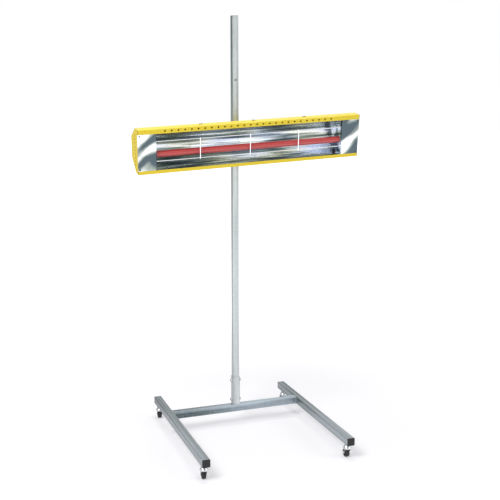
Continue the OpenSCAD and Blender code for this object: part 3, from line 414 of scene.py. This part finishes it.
# Leg caps
# Black plastic plugs, moulded, pressed into the open ends of the legs. They have the
# fine grain of a spark-eroded mould, pale scuffs and a little dust.
def moulded_plastic(name, dark, light):
    material, skin = finish_of(name)
    where = place_of(skin)
    pores = noise(skin, where, 900.0, 2.0, 0.5)
    wear = skin.ramp(noise(skin, where, 60.0, 5.0, 0.7), [(0.56, 0.0), (0.74, 1.0)])
    dust = noise(skin, where, 14.0, 3.0, 0.6)
    tint = skin.blend(wear * 0.35 + dust * 0.25, dark, light)
    surface(skin, {"Base Color": tint, "Roughness": 0.40 + 0.14 * dust, "Specular IOR Level": 0.4,
                   "Normal": bump(skin, pores, 0.25, 0.0003)})
    return material


black_plastic = moulded_plastic("black_moulded_plastic", (0.012, 0.013, 0.015, 1.0),
                                (0.07, 0.07, 0.075, 1.0))
cap_edge = 0.0009
soften("leg_caps", cap_edge, black_plastic, steps=3)


# Mast socket
# A short square tube welded upright on the crossbar. Two M8 bolts go through it and the
# mast, with bright nuts on the left; the bolts on the right take the dark blackened-steel finish as painted shade.
socket_edge = 0.0006
soften("mast_socket", socket_edge, zinc_upright)
socket_low, socket_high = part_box("mast_socket")
weld_rise = 0.0006
weld_inset = 0.001
foot = socket_low.z + weld_rise
runs = []
for x in (socket_low.x, socket_high.x):
    runs.append(((x, socket_low.y + corner_cut, foot), (x, socket_high.y - corner_cut, foot)))
for y in (socket_low.y + weld_inset, socket_high.y - weld_inset):
    runs.append(((socket_low.x + corner_cut, y, foot), (socket_high.x - corner_cut, y, foot)))
weld("socket_welds", "stand", runs)


def plated(name, dark, light, rough_low, rough_high):
    """Barrel finished plated steel, with small stains and a soft grain."""
    material, skin = finish_of(name)
    where = place_of(skin)
    stains = noise(skin, where, 70.0, 4.0, 0.65)
    fine = noise(skin, where, 1400.0, 2.0, 0.5)
    tint = skin.blend(stains, dark, light)
    rough = skin.ramp(stains, [(0.3, rough_low), (0.7, rough_high)])
    surface(skin, {"Base Color": tint, "Metallic": 1.0, "Roughness": rough,
                   "Normal": bump(skin, fine, 0.12, 0.0002)})
    return material


bright_zinc = plated("bright_zinc_plate", (0.55, 0.56, 0.57, 1.0), (0.86, 0.87, 0.88, 1.0), 0.18, 0.32)
black_oxide = plated("black_oxide_steel", (0.05, 0.05, 0.055, 1.0), (0.16, 0.16, 0.17, 1.0), 0.30, 0.45)


def ring(made, at, radii, heights):
    """Corners around the local Z of at, each with its own radius and height."""
    return [made.verts.new(at @ Vector((radius * cosine, radius * sine, height)))
            for (cosine, sine), radius, height in zip(around(len(radii)), radii, heights)]


def turned(made, at, profile, sides=40):
    """A shape turned on a lathe about the local Z of at, from (radius, height) points."""
    rings = []
    for radius, height in profile:
        count = sides if radius else 1
        rings.append(ring(made, at, [radius] * count, [height] * count))
    join_rings(made, rings, closed=False)


def washer(made, at, inner, outer, thick):
    edge = thick / 4
    turned(made, at, [(inner, 0), (outer - edge, 0), (outer, edge), (outer, thick - edge),
                      (outer - edge, thick), (inner, thick), (inner, 0)])


def hexagon(made, at, flats, height, hole=0.0, both=False):
    """A bolt head or nut whose corners are turned down to a cone, as real ones are."""
    sides = 60
    chamfer = math.radians(32)
    half_flat = flats / 2
    spread = [half_flat / math.cos((k % (sides // 6)) * math.tau / sides - math.pi / 6) for k in range(sides)]
    drop = [(radius - half_flat) * math.tan(chamfer) for radius in spread]
    face = [half_flat * 0.95] * sides
    foot, top = [0.0] * sides, [height] * sides
    rows = [(face, foot), (spread, drop)] if both else [(spread, foot)]
    rows += [(spread, [height - fall for fall in drop]), (face, top)]
    if hole:
        bore = [hole] * sides
        rows = [(bore, foot)] + rows + [(bore, top)]
    rings = [ring(made, at, radii, heights) for radii, heights in rows]
    if hole:
        rings.append(rings[0])
    join_rings(made, rings, closed=not hole)


def thread(made, at, radius, length, pitch):
    """A threaded stretch with its ridges and a chamfered tip, closed at both ends."""
    root, tip = radius * 0.88, radius * 0.7
    turns = max(1, int(length / pitch))
    ridges = []
    for i in range(turns):
        ridges += [(root, i * pitch), (radius, i * pitch + pitch / 2)]
    turned(made, at, [(0, 0)] + ridges + [(root, turns * pitch), (tip, length), (0, length)], sides=24)


def facing(x, y, z, direction):
    """A local frame at a place, whose Z points along a direction."""
    turn = Vector(direction).normalized().to_track_quat("Z", "Y").to_matrix().to_4x4()
    return Matrix.Translation((x, y, z)) @ turn


thread_pitch = 0.00125


def bolt_set(made_head, made_nut, at, size, grip):
    """A hexagon bolt with washer at the local origin, its nut with washer beyond the grip."""
    washer_thick = 0.0015
    washer_play = 0.00005
    flats, head_rise, nut_rise = 1.625 * size, 0.66 * size, 0.8 * size
    shank, past_nut = 0.495 * size, 0.001
    on_washer = Matrix.Translation((0, 0, washer_thick))
    washer(made_head, at, size / 2, size, washer_thick)
    hexagon(made_head, at @ on_washer, flats, head_rise)
    turned(made_head, at, [(0, 0), (shank, 0), (shank, -grip), (0, -grip)])
    far = at @ Matrix.Translation((0, 0, -grip)) @ Matrix.Rotation(math.pi, 4, "X")
    thread(made_head, far, size / 2, washer_thick + nut_rise + past_nut, thread_pitch)
    washer(made_nut, far, size / 2 + washer_play, size, washer_thick)
    hexagon(made_nut, far @ on_washer, flats, nut_rise, size / 2, both=True)


bolt_low, bolt_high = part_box("socket_bolts")
bolt_size = 0.008
washer_reach = bolt_size
head_mesh, nut_mesh = bmesh.new(), bmesh.new()
mid_y = (bolt_low.y + bolt_high.y) / 2
for z in (bolt_low.z + washer_reach, bolt_high.z - washer_reach):
    bolt_set(head_mesh, nut_mesh, facing(socket_high.x, mid_y, z, (1, 0, 0)), bolt_size,
             socket_high.x - socket_low.x)
# Painted shade: the bolts on the shaded right side take the dark blackened-steel finish.
remake("socket_bolts", head_mesh, black_oxide)
remake("socket_nuts", nut_mesh, bright_zinc)


# Mast
# Square tube with a grey plastic plug in its top, flush with its sides. A dull zinc plated
# button screw on its front stops the carriage.
grey_plastic = moulded_plastic("grey_moulded_plastic", (0.42, 0.43, 0.44, 1.0), (0.60, 0.60, 0.60, 1.0))
plug_edge = 0.0015
soften("mast_cap", plug_edge, grey_plastic, steps=3)
stop_low, stop_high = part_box("stop_screw")
mast_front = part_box("mast")[0].y
middle = (stop_low + stop_high) / 2
wide = (stop_high.x - stop_low.x) / 2
rise = mast_front - stop_low.y
key = 0.0022
key_floor = rise * 0.45
stop_mesh = bmesh.new()
turned(stop_mesh, facing(middle.x, mast_front, middle.z, (0, -1, 0)),
       [(0, key_floor), (key, key_floor), (key, rise * 0.96), (key * 1.15, rise), (wide * 0.55, rise * 0.97),
        (wide * 0.8, rise * 0.78), (wide * 0.96, rise * 0.42), (wide, 0), (0, 0)])
dull_plate = plated("dull_zinc_plate", (0.20, 0.21, 0.215, 1.0), (0.42, 0.44, 0.44, 1.0), 0.30, 0.45)
remake("stop_screw", stop_mesh, dull_plate)


# Casters
# Small swivel casters: a plated threaded stem with its ball race, a bright domed crown
# with dark cheeks of pressed steel, and a wheel of solid black rubber on a riveted
# axle.
def rubber():
    material, skin = finish_of("solid_black_rubber")
    where = place_of(skin)
    dust = skin.ramp(noise(skin, where, 45.0, 5.0, 0.7), [(0.45, 0.0), (0.75, 1.0)])
    pits = noise(skin, where, 900.0, 3.0, 0.6)
    tint = skin.blend(dust * 0.5, (0.010, 0.010, 0.011, 1.0), (0.10, 0.095, 0.09, 1.0))
    surface(skin, {"Base Color": tint, "Roughness": 0.50 + 0.2 * dust,
                   "Normal": bump(skin, pits, 0.3, 0.0004)})
    return material


tread_rubber = rubber()
stem_edge = 0.0005
soften("caster_stems", stem_edge, bright_zinc)
dress(bright_zinc, "caster_nuts")


def arc(centre, radius, start, end, steps):
    """Points on a round stretch, in degrees."""
    return [(centre[0] + radius * math.cos(math.radians(start + (end - start) * i / steps)),
             centre[1] + radius * math.sin(math.radians(start + (end - start) * i / steps)))
            for i in range(steps + 1)]


def plate(made, at, outline, thick, edge):
    """A flat plate of sheet with softened edges, standing on the local XY plane."""
    count = len(outline)
    points = [Vector(point) for point in outline]
    inset = []
    for i in range(count):
        before = (points[i] - points[i - 1]).normalized()
        after = (points[(i + 1) % count] - points[i]).normalized()
        inward = Vector((-(before.y + after.y), before.x + after.x))
        inset.append(points[i] + inward.normalized() * edge)
    levels = [(inset, 0.0), (points, edge), (points, thick - edge), (inset, thick)]
    join_rings(made, [[made.verts.new(at @ Vector((point.x, point.y, height))) for point in ring]
                      for ring, height in levels])


wheel_radius = 0.020
half_width = 0.009
axle_radius = 0.003
axle_play = 0.0001
trail = 0.010
crown_radius = 0.019
crown_low = 0.043
dome_top = 0.0577
stem_hole = 0.0051
fork_inside = 0.010
fork_sheet = 0.002
fork_edge = 0.0005
cheek_out = fork_inside + fork_sheet
cheek_half = 0.0125
cheek_flare = 0.001
cheek_low = crown_low - 0.006
cheek_top = crown_low + 0.001
eye_radius = 0.008
eye_shoulder = wheel_radius + 0.004

# The crown, in from its rim and up from its lower edge
crown_steps = [(0.0030, 0.0), (0.0, -0.0008), (0.0, 0.0016), (0.0004, 0.0032), (0.0022, 0.0062),
               (0.0048, 0.0098)]
crown_outline = ([(stem_hole, crown_low)]
                 + [(crown_radius - inward, crown_low + up) for inward, up in crown_steps]
                 + [(crown_radius - 0.0075, dome_top - 0.0010), (stem_hole + 0.004, dome_top),
                    (stem_hole, dome_top), (stem_hole, crown_low)])

# A cheek, backward and up: the eye round the axle, and the straight edges to the crown
cheek_outline = (arc((trail, wheel_radius), eye_radius, -165, -15, 14)
                 + [(trail + eye_radius, eye_shoulder), (cheek_half + cheek_flare, cheek_low),
                    (cheek_half, cheek_top), (-cheek_half, cheek_top),
                    (-cheek_half + cheek_flare, cheek_low), (trail - eye_radius - cheek_flare, eye_shoulder)])

# Half the wheel, radius and half width: hub, sunk disc, rim, shoulder, tread, mould line
wheel_side = [(axle_radius + axle_play, half_width), (0.0060, half_width), (0.0066, half_width - 0.0006),
              (0.0070, 0.0062), (0.0082, 0.0056), (0.0128, 0.0056), (0.0140, 0.0062),
              (0.0146, half_width - 0.0008), (0.0152, half_width), (0.0172, half_width),
              (0.0188, half_width - 0.0006), (0.0197, half_width - 0.0020),
              (wheel_radius, half_width - 0.0042), (wheel_radius, 0.0009), (wheel_radius - 0.0004, 0.0003)]
other_side = [(radius, -height) for radius, height in reversed(wheel_side)]

# The axle's riveted head, radius and height over the cheek, with its dimple
rivet_head = [(0.0048, 0.0), (0.0048, 0.0006), (0.0040, 0.0017), (0.0022, 0.0019), (0, 0.0012)]
axle_outline = ([(radius, -cheek_out - height) for radius, height in reversed(rivet_head)]
                + [(axle_radius, -cheek_out), (axle_radius, cheek_out)]
                + [(radius, cheek_out + height) for radius, height in rivet_head])

for corner in ("front_left", "front_right", "rear_left", "rear_right"):
    swivel = Vector(joints[corner + "_caster_swivel"]["pos_m"])
    axis = joints[corner + "_wheel_roll"]["axis"]
    at = (Matrix.Translation((swivel.x, swivel.y, 0))
          @ Matrix.Rotation(math.atan2(axis[1], axis[0]), 4, "Z"))
    crown = bmesh.new()
    turned(crown, at, crown_outline)
    crown_piece = finish_piece(corner + "_crown_dressed", crown, body_of[corner + "_fork"], bright_zinc,
                               smooth=40)
    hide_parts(corner + "_fork")
    cheeks = bmesh.new()
    for x in (-cheek_out, fork_inside):
        cheek = at @ Matrix(((0, 0, 1, x), (1, 0, 0, 0), (0, 1, 0, 0), (0, 0, 0, 1)))
        plate(cheeks, cheek, cheek_outline, fork_sheet, fork_edge)
    remake(corner + "_fork", cheeks, black_oxide)
    spin = at @ facing(0, trail, wheel_radius, (1, 0, 0))
    wheel = bmesh.new()
    turned(wheel, spin, wheel_side + other_side + [wheel_side[0]], sides=56)
    remake(corner + "_wheel", wheel, tread_rubber, smooth=40)
    axle = bmesh.new()
    turned(axle, spin, axle_outline)
    remake(corner + "_axle", axle, bright_zinc)


# Carriage
# Folded and welded sheet steel, zinc plated: a square sleeve with nylon liners that
# slides on the mast, a plate in front with the turning stud and its friction washer of
# pressed fibre, and a nut boss behind.
# Painted reflection: the carriage's zinc is painted like the mast's, lighter lower down.
carriage_zinc = zinc_tube("zinc_plated_carriage", 2, *pale_zinc_painted_reflection, painted_dark_end=3.2, painted_light_end=0.2)
sleeve_edge = 0.0006
liner_edge = 0.0005
soften("carriage", sleeve_edge, carriage_zinc)
soften("carriage_liners", liner_edge, black_plastic)
dress(bright_zinc, "turn_stud")
turn_axis = Vector(joints["head_turn"]["pos_m"])
sleeve_half = 0.020
plate_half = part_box("carriage")[1].x - turn_axis.x
weld_stop = 0.002
weld_half = plate_half - weld_stop
weld_line = turn_axis.y - sleeve_half - weld_rise
weld("carriage_welds", "carriage",
     [((x, weld_line, turn_axis.z - weld_half), (x, weld_line, turn_axis.z + weld_half))
      for x in (turn_axis.x - sleeve_half, turn_axis.x + sleeve_half)])


def fibre():
    material, skin = finish_of("fibre_friction_ring")
    flecks = noise(skin, place_of(skin), 1100.0, 4.0, 0.7)
    tint = skin.blend(flecks, (0.03, 0.026, 0.022, 1.0), (0.13, 0.11, 0.09, 1.0))
    surface(skin, {"Base Color": tint, "Roughness": 0.78, "Normal": bump(skin, flecks, 0.4, 0.0003)})
    return material


dark_fibre = fibre()
dress(dark_fibre, "turn_washer", "tilt_washers")


# Knobs
# Six-lobed clamping knobs of black moulded plastic, with a round plug over the brass
# insert and a hub at the back. Two of them turn a steel screw.
knob_radius = 0.021
knob_waist = 0.0168
knob_height = 0.018
knob_lobes = 6
lobe_power = 0.8
# Each ring: height, share of the full radius, and how far the lobes show
knob_rings = [(0.0, 0.50, 0.0), (0.0004, 0.54, 0.0), (0.0030, 0.56, 0.0), (0.0034, 0.60, 0.1),
              (0.0037, 0.90, 0.9), (0.0046, 0.97, 1.0), (0.0062, 1.0, 1.0), (0.0140, 0.985, 1.0),
              (0.0158, 0.96, 1.0), (0.0171, 0.91, 0.95), (0.0178, 0.82, 0.8), (knob_height, 0.72, 0.5),
              (0.0178, 0.56, 0.1), (0.0170, 0.53, 0.0), (0.0168, 0.50, 0.0), (0.0171, 0.46, 0.0),
              (0.0174, 0.42, 0.0), (0.0175, 0.20, 0.0)]


def knob(name, outward, foot_place):
    """A knob whose back stands on a place, with its face looking outward."""
    made = bmesh.new()
    at = facing(*foot_place, outward)
    sides = 96
    waves = [(0.5 + 0.5 * math.cos(knob_lobes * math.tau * k / sides)) ** lobe_power for k in range(sides)]
    lobed = [knob_waist + (knob_radius - knob_waist) * wave for wave in waves]
    loops = []
    for height, share, show in knob_rings:
        reach = [share * (knob_radius * (1 - show) + radius * show) for radius in lobed]
        loops.append(ring(made, at, reach, [height] * sides))
    join_rings(made, loops)
    remake(name, made, black_plastic, smooth=45)


clamp_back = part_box("clamp_knob")[0].y
knob("clamp_knob", (0, 1, 0), (turn_axis.x, clamp_back, turn_axis.z))
turn_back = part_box("turn_knob")[1].y
knob("turn_knob", (0, -1, 0), (turn_axis.x, turn_back, turn_axis.z))
tilt_axis = Vector(joints["head_tilt"]["axis"]).normalized()
tilt_at = Vector(joints["head_tilt"]["pos_m"])
knob_middle = sum(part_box("tilt_knob"), Vector()) / 2
knob_foot = (knob_middle - tilt_at).dot(tilt_axis) - knob_height / 2
knob("tilt_knob", tilt_axis, tilt_at + tilt_axis * knob_foot)


def threaded_rod(name, axis):
    """A plain screw again, with its thread from end to end."""
    middle = sum(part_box(name), Vector()) / 2
    axis = Vector(axis).normalized()
    corners = [corner.co - middle for corner in nodes[name].data.vertices]
    heights = [corner.dot(axis) for corner in corners]
    radius = max((corner - axis * height).length for corner, height in zip(corners, heights))
    made = bmesh.new()
    at = facing(*(middle + axis * min(heights)), axis)
    thread(made, at, radius, max(heights) - min(heights), thread_pitch)
    remake(name, made, bright_zinc)


threaded_rod("clamp_screw", (0, -1, 0))
threaded_rod("tilt_screw", -tilt_axis)


# Yoke
# Folded from 3 mm sheet steel and zinc plated. A bolt on the left and the knob's screw
# on the right carry the head between its ears, with a friction washer at each.
yoke_edge = 0.0007
bolt_edge = 0.0005
nut_edge = 0.0004
soften("yoke", yoke_edge, carriage_zinc)
soften("tilt_bolt", bolt_edge, bright_zinc)
soften("tilt_nuts", nut_edge, bright_zinc)


# Housing
# Folded 1.5 mm steel sheet with a yellow powder coat: slight orange peel, a soft gloss
# and faint dust and grime.
def range_middle(name):
    return math.radians(sum(joints[name]["range_deg"]) / 2)


tilt_rest = -range_middle("head_tilt")
turn_rest = range_middle("head_turn")
face_depth = 0.150
head_place = (Matrix.Translation(tilt_at) @ Matrix.Rotation(turn_rest, 4, "Y")
              @ Matrix.Rotation(tilt_rest, 4, "X") @ Matrix.Translation((0, -face_depth, 0)))


def place_on_head(finish, stretch=(1.0, 1.0, 1.0)):
    """The place in the head's own frame: along it, back from its face, and up its face."""
    where = finish.node("ShaderNodeTexCoord", output=3)
    return finish.node("ShaderNodeMapping", {"vector_type": "TEXTURE"},
                       {"Vector": where, "Location": head_place.translation,
                        "Rotation": head_place.to_euler(), "Scale": [1 / share for share in stretch]})


def head_axis(finish, axis):
    """The place along one axis of the head: 0 along it, 2 up its face."""
    return finish.node("ShaderNodeSeparateXYZ", None, {0: place_on_head(finish)}, output=axis)


def powder_coat(name, plate_out=None):
    """Yellow coat, with painted shade on the walls of the vents if an end plate's outer face is given."""
    material, skin = finish_of(name)
    where = place_of(skin)
    peel = noise(skin, where, 520.0, 3.0, 0.55)
    clouds = noise(skin, where, 7.0, 3.0, 0.5)
    grime = skin.ramp(noise(skin, where, 38.0, 6.0, 0.75), [(0.58, 0.0), (0.78, 1.0)])
    tint = skin.blend(clouds, (0.92, 0.68, 0.022, 1.0), (0.97, 0.77, 0.045, 1.0))
    tint = skin.blend(grime * 0.22, tint, (0.42, 0.30, 0.06, 1.0))
    if plate_out:
        # Painted shade: the walls of the vent holes are painted dark brown.
        depth = plate_out - abs(head_axis(skin, 0))
        painted_vent_shade = skin.node("ShaderNodeMapRange", None,
                            {"Value": depth, "From Min": 0.0001, "From Max": 0.0004})
        tint = skin.blend(painted_vent_shade, tint, (0.09, 0.055, 0.010, 1.0))
    surface(skin, {"Base Color": tint, "Roughness": 0.40 + 0.16 * grime, "Coat Weight": 0.10,
                   "Coat Roughness": 0.25, "Specular IOR Level": 0.40,
                   "Normal": bump(skin, peel, 0.10, 0.0003)})
    return material


fold_radius = 0.0012
yellow_coat = powder_coat("yellow_powder_coat")
soften("housing", fold_radius, yellow_coat, steps=3, angle=25)


# End plates
# Flat yellow sheet with a column of vent holes, riveted to the housing by two tabs. The
# vent walls are painted dark brown as shade, so that the holes look dark.
plate_edge = 0.0002
into_head = head_place.inverted()
plate_out = max(abs((into_head @ corner.co).x) for corner in nodes["left_end_plate"].data.vertices)
plate_coat_with_vent_shade = powder_coat("yellow_coat_painted_shade_in_vents", plate_out)
for name in ("left_end_plate", "right_end_plate"):
    soften(name, plate_edge, plate_coat_with_vent_shade)


# Reflector
# Polished aluminium sheet, pressed into a trough of flat strips. It buckles softly
# along its length. What it mirrors is a painted reflection in its colour: long streaks of a bright room with dark
# corners, tinted cool and warm, lighter near the tube and toward the head's right end.
def paint_room_reflection(finish, depth):
    """Painted reflection: the colours of a bright room with dark corners, from slate through grey-green to white.
    """
    tint = finish.blend(finish.ramp(depth, [(0.30, 0.0), (0.42, 1.0)]),
                        (0.075, 0.100, 0.115, 1.0), (0.23, 0.27, 0.25, 1.0))
    tint = finish.blend(finish.ramp(depth, [(0.42, 0.0), (0.52, 1.0)]), tint, (0.50, 0.53, 0.52, 1.0))
    return finish.blend(finish.ramp(depth, [(0.52, 0.0), (0.62, 1.0)]), tint, (0.93, 0.94, 0.95, 1.0))


def polished_trough_painted_reflection():
    material, skin = finish_of("polished_trough_painted_reflection")
    strips = noise(skin, place_on_head(skin, (0.08, 1.0, 1.0)), 40.0, 1.0, 0.5)
    lines = noise(skin, place_on_head(skin, (0.035, 1.0, 1.0)), 105.0, 2.0, 0.6)
    swells = noise(skin, place_on_head(skin, (0.8, 1.0, 1.0)), 5.5, 1.0, 0.4)
    tube_drop = 0.012
    # Painted glow: the trough is painted a little lighter close to the tube.
    off_tube = abs(head_axis(skin, 2) + tube_drop)
    painted_glow_near_tube = skin.node("ShaderNodeMapRange", {"interpolation_type": "SMOOTHSTEP"},
                          {"Value": off_tube, "From Min": 0.012, "From Max": 0.045,
                           "To Min": 1.0, "To Max": 0.0})
    # Painted reflection: streaks, lines and swells of a room, lighter toward the head's right end.
    depth = (strips * 1.10 + lines * 0.95 + swells * 0.45 + painted_glow_near_tube * 0.05
             + head_axis(skin, 0) * 0.24 - 0.79)
    # Painted reflection: long patches tinted cool and warm.
    sheen = noise(skin, place_on_head(skin, (0.15, 1.0, 1.0)), 26.0, 1.0, 0.5)
    painted_reflection_tint = skin.blend(skin.ramp(sheen, [(0.40, 0.0), (0.60, 1.0)]),
                      (0.78, 0.84, 1.0, 1.0), (1.0, 0.99, 0.88, 1.0))
    tint = skin.blend(1.0, paint_room_reflection(skin, depth), painted_reflection_tint, kind="MULTIPLY")
    ripple = bump(skin, strips + lines * 0.05, 0.6, 0.005)
    surface(skin, {"Base Color": tint, "Metallic": 1.0, "Roughness": 0.13 + 0.12 * lines, "Normal": ripple})
    return material


def polished_panel_painted_reflection():
    material, skin = finish_of("polished_end_panel_painted_reflection")
    # Painted reflection: slanted bands of a room, darker toward the head's right end.
    slanted = skin.node("ShaderNodeMapping", None,
                        {"Vector": place_on_head(skin), "Rotation": (0.0, math.radians(42), 0.0)})
    bands = skin.node("ShaderNodeMapping", None, {"Vector": slanted, "Scale": (0.34, 1.0, 1.0)})
    room_shapes = noise(skin, bands, 22.0, 0.6, 0.45)
    fine = noise(skin, place_on_head(skin), 60.0, 4.0, 0.6)
    depth = (skin.ramp(room_shapes * 0.94 + fine * 0.06, [(0.40, 0.24), (0.62, 0.64)])
             - head_axis(skin, 0) * 0.10)
    tint = paint_room_reflection(skin, depth)
    ripple = bump(skin, room_shapes, 0.4, 0.006)
    surface(skin, {"Base Color": tint, "Metallic": 1.0, "Roughness": 0.07 + 0.08 * fine, "Normal": ripple})
    return material


dress(polished_trough_painted_reflection(), "reflector")
dress(polished_panel_painted_reflection(), "left_end_reflector", "right_end_reflector")
dress(bright_zinc, "reflector_brackets")


# Heat tube
# Quartz glass with a ruby coat, smooth and a little deeper where the coat is thick. The
# trough doesn't mirror it: a real one is too uneven to show the tube in broad red bands.
def ruby_quartz():
    material, skin = finish_of("ruby_quartz")
    where = place_of(skin, (0.2, 1.0, 1.0))
    coat = noise(skin, where, 30.0, 3.0, 0.6)
    tint = skin.blend(coat, (0.50, 0.016, 0.016, 1.0), (0.72, 0.040, 0.036, 1.0))
    surface(skin, {"Base Color": tint, "Roughness": 0.14 + 0.06 * coat, "Coat Weight": 1.0,
                   "Coat Roughness": 0.05, "IOR": 1.5})
    return material


dress(ruby_quartz(), "heat_tube")
nodes["heat_tube"].visible_glossy = False


# Tube ends
# Unglazed steatite caps on the tube's ends, held in zinc plated sheet brackets. The bright
# filament inside the tube and the grey insulated leads end in them.
def steatite():
    material, skin = finish_of("unglazed_steatite")
    grains = noise(skin, place_of(skin), 700.0, 4.0, 0.6)
    tint = skin.blend(grains, (0.62, 0.58, 0.50, 1.0), (0.84, 0.81, 0.74, 1.0))
    surface(skin, {"Base Color": tint, "Roughness": 0.72, "Normal": bump(skin, grains, 0.3, 0.0003)})
    return material


ceramic_edge = 0.0006
ceramic = steatite()
soften("tube_caps", ceramic_edge, ceramic)
dress(bright_zinc, "lamp_holders", "filament")
dress(grey_plastic, "lamp_leads")


# Guard
# Chrome plated steel wire in front of the tube: two long wires and three cross wires,
# welded where they meet.
chrome_wire = plated("chrome_plated_wire", (0.80, 0.80, 0.81, 1.0), (0.95, 0.95, 0.96, 1.0), 0.08, 0.16)
dress(chrome_wire, "guard")


# Bracket and terminal cover
# Folded sheet on the back of the head, coated like the housing: the bracket is riveted
# on and the cover screwed on. A ceramic terminal block sits under the cover.
bracket_edge = 0.0007
cover_edge = 0.0009
soften("head_bracket", bracket_edge, yellow_coat)
soften("terminal_cover", cover_edge, yellow_coat, steps=3)
dress(ceramic, "terminal_block")


# Screws and rivets
# Pan head sheet screws of blackened steel with a cross recess, and aluminium blind rivets
# whose dome shows the end of the broken mandrel.
def loose_solids(name):
    """The points of each separate solid of a node, in the head's own frame."""
    made = bmesh.new()
    made.from_mesh(nodes[name].data)
    bmesh.ops.remove_doubles(made, verts=made.verts, dist=same_corner)
    left = set(made.verts)
    solids = []
    for first in made.verts:
        if first not in left:
            continue
        left.discard(first)
        queue, points = [first], []
        while queue:
            corner = queue.pop()
            points.append(into_head @ corner.co)
            for edge in corner.link_edges:
                other = edge.other_vert(corner)
                if other in left:
                    left.discard(other)
                    queue.append(other)
        solids.append(points)
    made.free()
    return solids


def seat(points):
    """A fastener's frame, Z out of its head from the head's underside, and its sizes."""
    low = [min(point[axis] for point in points) for axis in range(3)]
    high = [max(point[axis] for point in points) for axis in range(3)]
    spans = [high[axis] - low[axis] for axis in range(3)]
    gaps = [abs(spans[(axis + 1) % 3] - spans[(axis + 2) % 3]) for axis in range(3)]
    along = gaps.index(min(gaps))
    middle = [(low[axis] + high[axis]) / 2 for axis in range(3)]
    others = [axis for axis in range(3) if axis != along]

    def reach(point):
        return math.hypot(*(point[axis] - middle[axis] for axis in others))

    rim_share = 0.97
    under_head = 0.0002
    widest = max(reach(point) for point in points)
    rim = [point[along] for point in points if reach(point) > rim_share * widest]
    outward = 1 if abs(high[along] - max(rim)) < abs(min(rim) - low[along]) else -1
    underside = min(rim) if outward > 0 else max(rim)
    tip = low[along] if outward > 0 else high[along]
    top = high[along] if outward > 0 else low[along]
    shank = [reach(point) for point in points if (point[along] - underside) * outward < -under_head]
    middle[along] = underside
    direction = [0.0, 0.0, 0.0]
    direction[along] = outward
    return (head_place @ facing(*middle, direction), widest, max(shank or [widest / 2]),
            abs(top - underside), abs(underside - tip))


def cross_head(made, at, radius, height):
    """A pan head with a cross recess. Its sizes are shares of the head's radius and height."""
    sides = 48
    bar, reach, floor = 0.17, 0.62, 0.42
    rings = [(0.02, 1.0), (0.10, 1.0), (0.16, 1.0), (0.19, 1.0), (0.30, 0.99), (0.42, 0.97), (0.54, 0.94),
             (0.60, 0.92), (0.64, 0.91), (0.74, 0.87), (0.84, 0.80), (0.92, 0.68), (0.98, 0.48), (1.0, 0.25),
             (1.0, 0.0)]
    loops = []
    for share, rise in rings:
        spots = [(abs(share * cosine), abs(share * sine)) for cosine, sine in around(sides)]
        levels = [floor if min(spot) < bar and max(spot) < reach else rise for spot in spots]
        loops.append(ring(made, at, [radius * share] * sides, [height * level for level in levels]))
    join_rings(made, loops)


screw_pitch = 0.0012
screws = bmesh.new()
for points in loose_solids("sheet_screws"):
    at, head_radius, shank_radius, rise, shank_long = seat(points)
    cross_head(screws, at, head_radius, rise)
    thread(screws, at @ Matrix.Rotation(math.pi, 4, "X"), shank_radius, shank_long, screw_pitch)
remake("sheet_screws", screws, black_oxide)

plain_aluminium = plated("plain_aluminium", (0.62, 0.62, 0.62, 1.0), (0.85, 0.85, 0.85, 1.0), 0.30, 0.44)
for name in ("end_rivets", "bracket_rivets"):
    rivets = bmesh.new()
    for points in loose_solids(name):
        at, radius, shank_radius, rise, shank_long = seat(points)
        stub = radius * 0.26
        shank = [(0, -shank_long), (shank_radius * 0.8, -shank_long), (shank_radius, -shank_long * 0.8),
                 (shank_radius, 0)]
        dome = [(radius * math.cos(math.radians(angle)), rise * math.sin(math.radians(angle)))
                for angle in range(0, 70, 10)]
        mandrel = [(stub * 1.15, rise * 0.97), (stub, rise * 0.72), (stub * 0.9, rise * 0.72),
                   (stub * 0.8, rise * 0.8), (0, rise * 0.82)]
        turned(rivets, at, shank + dome + mandrel, sides=28)
    remake(name, rivets, plain_aluminium)


# Cable gland
# Black nylon gland under the cover: a body with its locknut inside the cover, a sealing
# ring, and a dome nut that clamps the cable.
gland_edge = 0.0005
dome_edge = 0.0006
soften("gland_body", gland_edge, black_plastic)
soften("gland_nut", dome_edge, black_plastic)
dress(black_plastic, "gland_locknut")
dress(dark_fibre, "gland_seal")
